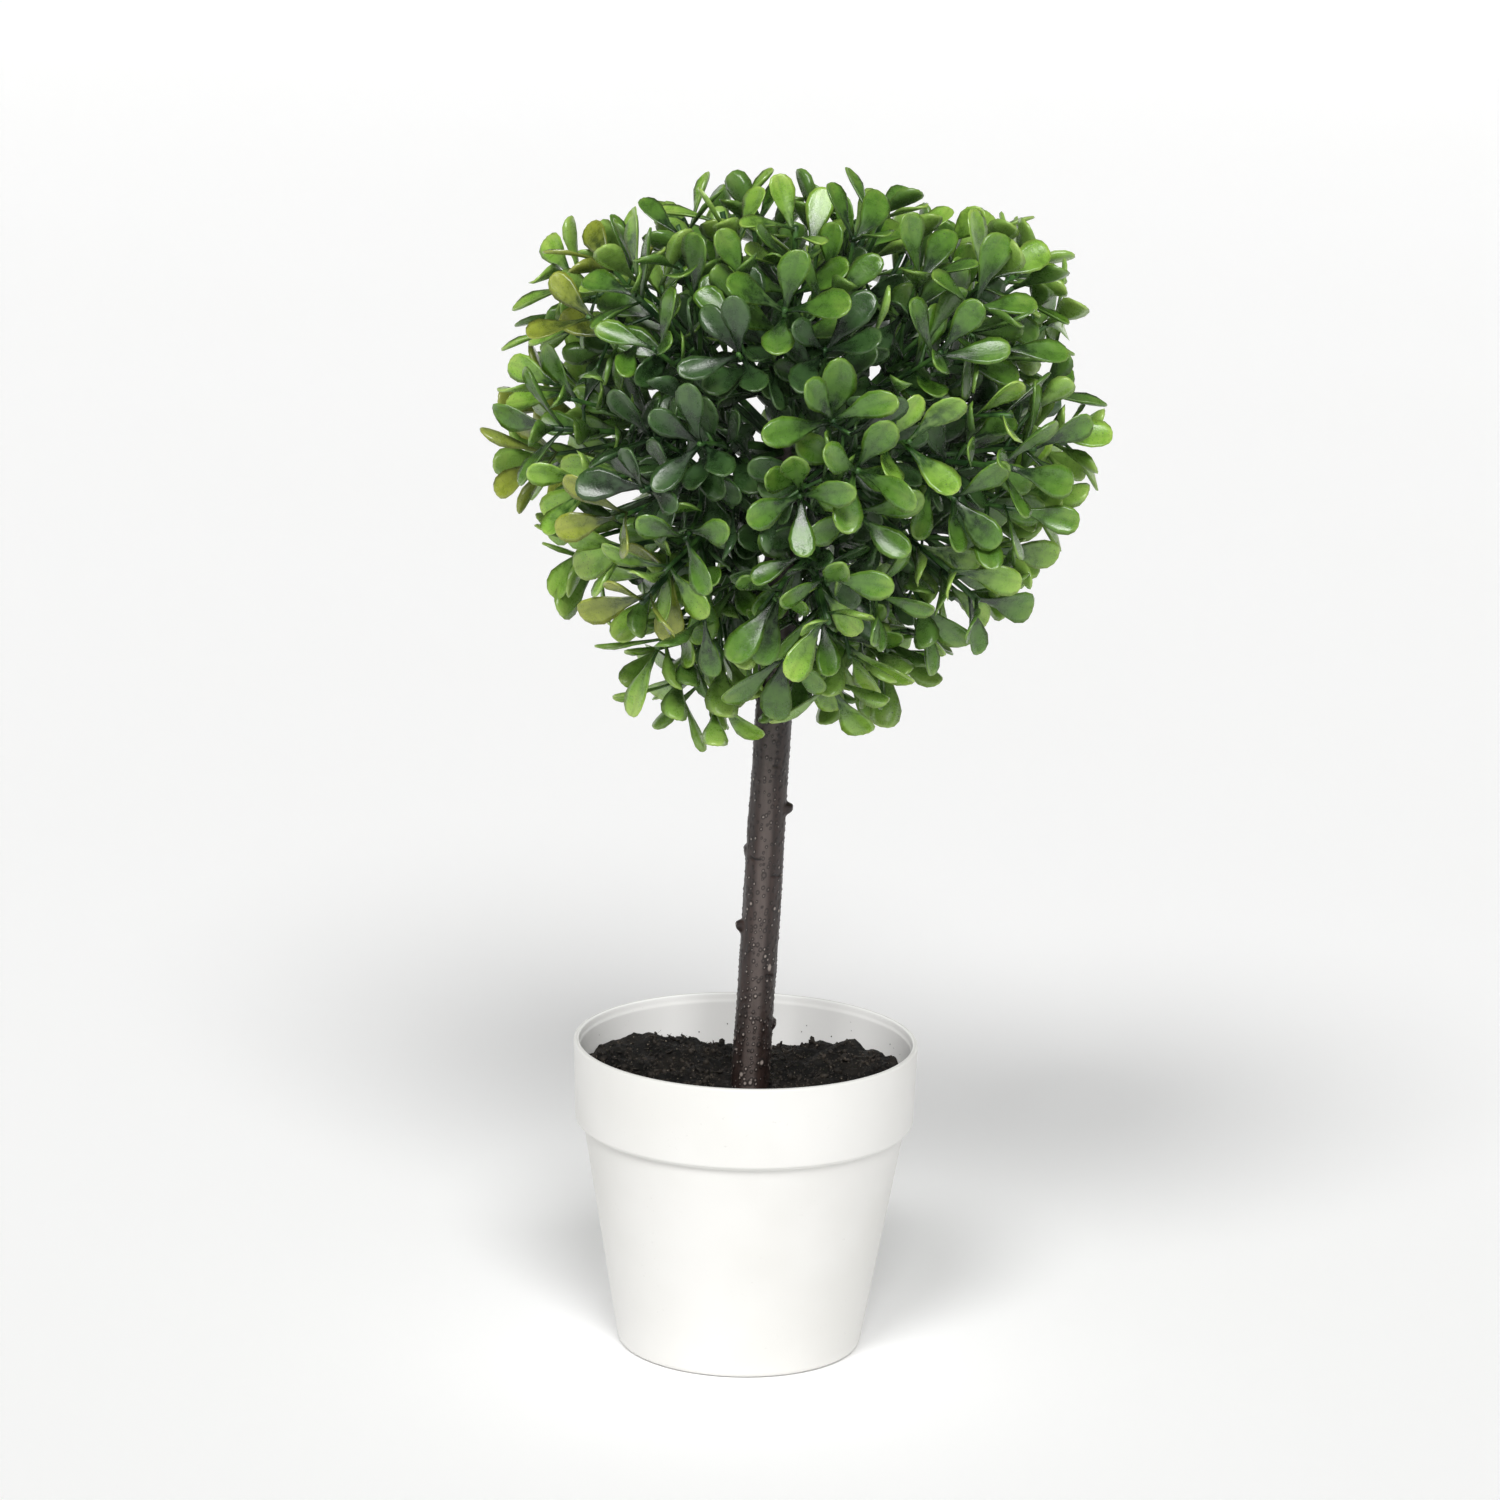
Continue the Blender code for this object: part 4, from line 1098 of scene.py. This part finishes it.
def leaf_width(s):
    """Half width as a share of the widest: a stalk that swells by a smooth step, then a rounded end."""
    swell = smooth_step((s - STALK_END) / (BLADE_WIDEST - STALK_END))
    blade = STALK_WIDTH + (1 - STALK_WIDTH) * swell ** SWELL_POWER
    past = np.clip((s - BLADE_WIDEST) / (1 - BLADE_WIDEST), 0, 1)
    return blade * (1 - past ** TIP_POWER) ** (1 / TIP_POWER)


def leaf_points(leaves, source):
    """Points of many leaves, (leaves, rows, 7, 3), from one formula.

    A point lies its share of the length along the axis, its share of the width across, and up by the
    section's thickness, less the crease, plus a cup that grows with the square of the way across. Two bends,
    up and to the side, grow with the square of the way along. The section turns a little towards the tip.
    """
    root, axis, face, across, length = (np.array(values)[:, None, None] for values in zip(*leaves))
    s = LEAF_ROWS[:, None]
    width = leaf_width(s)
    each = (len(leaves), 1, 1)
    half = length * LEAF_WIDTH_SHARE / 2 * source.uniform(*WIDTHS, each)
    cup = source.uniform(*CUPS, each) * MM
    bend = source.normal(*BENDS, each)
    twist = source.normal(0, TWIST, each) * s
    sickle = source.normal(0, SICKLE, each)
    thick = STALK_THICK + (BLADE_THICK - STALK_THICK) * np.clip(s / THICK_UNTIL, 0, 1)
    thick = thick * np.clip(width / FULL_THICK_WIDTH, LEAST_THICK, 1) ** 0.5
    up = thick * SECTION_UP - CREASE * width * SECTION_MIDDLE
    up = up + cup * width ** 2 * (SECTION_ACROSS * SECTION_ACROSS - CUP_MIDDLE) + bend * length * s * s
    sideways = half * width * SECTION_ACROSS + sickle * length * s * s
    flat = sideways * np.cos(twist) - up * np.sin(twist)
    lift = sideways * np.sin(twist) + up * np.cos(twist)
    return root + axis * (length * s)[..., None] + across * flat[..., None] + face * lift[..., None]

# %% [markdown]
# ## Where a leaf lies on its colour sheet
# The colours of a leaf follow its own shape: dark at the stalk, lighter to the tip, pale on the rim. So each
# leaf has a map, not a place in space. All share a sheet of four by four places, each with the face beside
# the underside, so that sixteen different leaves are read from one finish.

# %% The map of every corner of a leaf
SHEET_COLUMNS, SHEET_ROWS = 4, 4
SHEET_MARGIN = 0.06
SHEET_INSIDE = 1 - 2 * SHEET_MARGIN
FACE_SIDES = 4
# Where the two end caps lie along the leaf's place, and how wide and tall they are there.
CAP_ENDS = np.array((0.03, 0.96))[:, None]
CAP_WIDE, CAP_TALL = 0.06, 0.008


def leaf_map(count, source):
    """Map places in the order of the faces' corners: the bands of quads first, then the two end caps."""
    rows, sides = LEAF_SHAPE
    quads = tube_faces(rows, sides)
    under = quads[:, :1] % sides >= FACE_SIDES
    a = SECTION_ACROSS[quads % sides]
    s = np.clip(LEAF_ROWS, 0, 1)[quads // sides]
    bands = together(under + SHEET_MARGIN + SHEET_INSIDE * np.where(under, 1 + a, 1 - a) / 2,
                     SHEET_MARGIN + SHEET_INSIDE * s)
    caps = together(0.5 + CAP_WIDE * SECTION_ACROSS, CAP_ENDS + CAP_TALL * SECTION_UP)
    caps[0] = caps[0][::-1].copy()
    own_columns = source.integers(0, SHEET_COLUMNS, count)[:, None, None]
    own_rows = source.integers(0, SHEET_ROWS, count)[:, None, None]

    def placed(shape):
        """The shape at each leaf's own place on the sheet."""
        u = (2 * own_columns + shape[..., 0]) / (2 * SHEET_COLUMNS)
        return together(u, (own_rows + shape[..., 1]) / SHEET_ROWS).reshape(-1, 2)

    return np.concatenate([placed(bands), placed(caps)])

# %% [markdown]
# ## Soft green plastic
# The leaves are moulded in dark green and sprayed lighter from outside, so the stalk stays dark. A grey
# sheen, partly dust and partly a painted reflection, greys some of them near the stalk, the rim is painted
# paler, partly as a painted highlight where its edge catches the light, and dark specks gather near the tips.
# All of it is worked out from the leaf's own map.

# %% The leaves' finish
def leaf_plastic(name, stalk, blade, rim, sheen):
    """From the stalk's green to the blade's along the leaf, then rim and its painted highlight, vein, dust
    and painted sheen, underside and specks.
    """
    finish = Finish(f"leaf_{name}", IOR=1.5, Specular_IOR_Level=0.75)
    sheet = finish.node("ShaderNodeUVMap", {"uv_map": MAP_NAME})
    columns = finish.node("ShaderNodeSeparateXYZ", None, {0: sheet}, "X") * (2.0 * SHEET_COLUMNS)
    rows = finish.node("ShaderNodeSeparateXYZ", None, {0: sheet}, "Y") * float(SHEET_ROWS)
    column, row = columns.floor(), rows.floor()
    across = ((columns - column - 0.5) * (2 / SHEET_INSIDE)).size()
    along = (rows - row - SHEET_MARGIN) * (1 / SHEET_INSIDE)
    place_number = (column * 0.5).floor() + row * 7.0
    chance, other_chance = finish.chance(place_number), finish.chance(place_number + 31.0)
    under = (column * 0.5 - (column * 0.5).floor()).step(0.2, 0.3)
    spread_out = finish.stretched(sheet, (56, 64, 1))
    blotches, grit = finish.noise(spread_out, 0.32, 3.0, 0.6), finish.noise(spread_out, 2.6, 2.0, 0.6)
    light = along + (blotches - 0.5) * 1.2 + (chance - 0.5) * 0.4
    edge, tip = across.step(0.80, 0.97) * along.step(0.2, 0.5), along.step(0.93, 0.985)
    vein = across.step(0.22, 0.04) * (1 - under) * along.step(0.12, 0.3)
    dust_and_sheen = blotches.step(0.45, 0.68) * along.step(0.9, 0.25) * (other_chance.step(0.25, 0.8) * 0.6 + 0.1)
    specks = grit.step(0.60, 0.68) * along.step(0.45, 0.8) * other_chance.step(0.8, 0.3)
    green = finish.layers(
        stalk,
        (light.step(0.14, 0.90), blade),
        (light.step(0.75, 1.25) * 0.45, rim),
        # Painted highlight, in part: the rim and the tip paler, as where the edge catches the light.
        (edge.larger(tip) * 0.24, rim),
        (vein * 0.16, stalk),
        # Grey patches near the stalk, partly dust and partly a painted reflection.
        (dust_and_sheen, sheen),
        (under * 0.35, sheen),
        (specks * 0.7, color(30, 40, 26)),
    )
    return finish.coat(green, grit * 0.16 + blotches * 0.26 + 0.08, grit * 0.5 + blotches, 0.08 * MM)


# The stalk, the blade, the rim, partly a painted highlight, and the grey sheen, partly dust and partly a
# painted reflection, that the underside has too.
LEAF_COLORS = {
    "deep": (color(15, 33, 14), color(52, 84, 39), color(96, 128, 66), color(70, 96, 66)),
    "mid": (color(22, 48, 14), color(84, 128, 38), color(144, 178, 72), color(94, 124, 70)),
    "light": (color(34, 70, 18), color(130, 175, 60), color(190, 214, 104), color(136, 166, 96)),
    "olive": (color(46, 64, 18), color(136, 150, 46), color(178, 184, 84), color(124, 138, 78)),
}

# %% The leaves, one piece for each tint
shape_draws = np.random.default_rng(SEED)
for tint, group in zip(TINTS, tinted):
    leaves = [leaf for _, leaf in group]
    piece(f"foliage_{tint}", leaf_points(leaves, shape_draws), tubes(len(leaves), *LEAF_SHAPE),
          leaf_plastic(tint, *LEAF_COLORS[tint]), "foliage", sorted({name for name, _ in group}),
          uv=leaf_map(len(leaves), shape_draws))

# %% [markdown]
# ## Stems and shoots
# The stems are the same plastic, thin, round and dark green, a little swollen where leaves sit. A curve
# object with a bevel would do as well, but arrays let one formula taper and swell all of them.

# %% The twigs' rings
STEM_SIDES = 6
SWELLING, SWELLING_PLACE, SWELLING_LENGTH = 0.45, 0.96, 0.05
STEM_SUNK = 1.6


def tapered(bends, thick, thin, stations):
    """Rings of twigs: the radius runs straight from thick to thin, with a bell-shaped swelling at the tip."""
    starts, middles, ends = np.moveaxis(np.array(bends), 1, 0)
    share = np.linspace(0, 1, stations)
    bell = np.exp(-((share - SWELLING_PLACE) / SWELLING_LENGTH) ** 2)
    radii = (thick + (thin - thick) * share) * (1 + SWELLING * bell)
    return rings_along(curved(starts, middles, ends, stations), radii[None], STEM_SIDES)


def green_stem():
    """Dark green with lighter blotches by a soft noise."""
    finish = Finish("green_stem", IOR=1.48)
    at = finish.place()
    blotches = finish.noise(at, 190.0, 3.0, 0.6)
    green = finish.layers(color(28, 58, 28), (blotches.step(0.35, 0.68), color(74, 116, 50)))
    return finish.coat(green, blotches * 0.2 + 0.32, finish.noise(at, 1500.0), 0.05 * MM)


stems, shoots = [], []
for space, bends, rolls, leaves in grown_sprays.values():
    start, middle, end = bends[0]
    stems.append((start - space.heading * STEM_SUNK * MM, middle, end))
    shoots.extend(bends[1:])
stem_green = green_stem()
# Name, curves, the radius at the start and at the tip, and how many rings.
for name, group, thick, thin, stations in (
    ("stems", stems, 1.0 * MM, 0.65 * MM, 10),
    ("shoots", shoots, 0.72 * MM, 0.52 * MM, 10),
    ("twigs", twigs, 0.5 * MM, 0.42 * MM, 6),
):
    piece(name, tapered(group, thick, thin, stations), tubes(len(group), stations, STEM_SIDES), stem_green,
          "foliage", SPRAYS if name == "stems" else ())

# %% [markdown]
# ## Floor, light and camera
# A plain pale floor turns up into a wall far behind, so that no horizon shows from any side. The light is
# that of a white studio: a little from all round, and two broad lamps above the front, one to the left that
# draws the sheen on leaves and bark, and a stronger one nearly in line with the camera.

# %% The floor
FLOOR_TURNS = 96
FLOOR_DROP = 0.2 * MM
FLOOR_REACH, FLOOR_BEND = 3.2, 0.9

a = np.linspace(0, math.pi / 2, 13)
section = np.stack([FLOOR_REACH + FLOOR_BEND * np.sin(a), FLOOR_BEND * (1 - np.cos(a)) - FLOOR_DROP], axis=-1)
section = np.concatenate([[(0.01, -FLOOR_DROP)], section])
pale = Finish("pale_floor", Roughness=0.9, Emission_Color=(1.0, 1.0, 1.0, 1.0), Emission_Strength=0.06)
pale_color = pale.layers(color(251, 251, 250), (pale.noise(pale.place(), 3.0), color(253, 253, 253)))
# A wide dish: flat to the reach, then a quarter circle up to a low wall, seen from inside.
dish = [tube_faces(len(section), FLOOR_TURNS)[:, ::-1], np.arange(FLOOR_TURNS)[None]]
smooth_object("floor", turned(section, FLOOR_TURNS), dish, pale.coat(pale_color))

# %% The lamps and the white surroundings
# Name, bearing and elevation it shines from, how wide it is in degrees, and its strength.
LAMPS = (("key_lamp", -112, 46, 20, 1.40), ("front_lamp", -80, 41, 22, 1.83))
SKY_STRENGTH = 0.16

for name, bearing, elevation, wide, strength in LAMPS:
    light = bpy.data.lights.new(name, "SUN")
    light.angle = math.radians(wide)
    light.energy = strength
    lamp = in_scene(name, light)
    lamp.rotation_mode = "QUATERNION"
    lamp.rotation_quaternion = Vector(toward(bearing, elevation)).to_track_quat("Z", "Y")
world = bpy.data.worlds.new("studio")
world.use_nodes = True
sky = world.node_tree.nodes["Background"].inputs
sky["Color"].default_value = (1.0, 1.0, 1.0, 1.0)
sky["Strength"].default_value = SKY_STRENGTH
bpy.context.scene.world = world
bpy.context.scene.view_settings.view_transform = "Standard"

# %% The camera
CAMERA_ROLL = math.radians(1.37)
CAMERA_DISTANCE = 1.4646
CAMERA_AIM = np.array((0.0, 0.0, 0.150))
# The photograph's size in pixels, and how far right of its middle and how far down the plant's middle lies.
PICTURE = 1500
PLANT_RIGHT, PLANT_DOWN = 2.6, 5.1

level, backward = np.array((1.0, 0.0, 0.0)), np.array((0.0, -math.cos(CAMERA_PITCH), math.sin(CAMERA_PITCH)))
camera_data = bpy.data.cameras.new("camera")
camera_data.lens = 144.0
camera_data.sensor_width = 36.0
camera_data.shift_x = -PLANT_RIGHT / PICTURE
camera_data.shift_y = PLANT_DOWN / PICTURE
camera = in_scene("camera", camera_data)
turn = np.eye(4)
turn[:3, 0] = between(level, SEEN_UP, CAMERA_ROLL)
turn[:3, 1] = between(SEEN_UP, -level, CAMERA_ROLL)
turn[:3, 2] = backward
turn[:3, 3] = CAMERA_AIM + backward * CAMERA_DISTANCE
camera.matrix_world = Matrix(turn.tolist())
bpy.context.scene.camera = camera
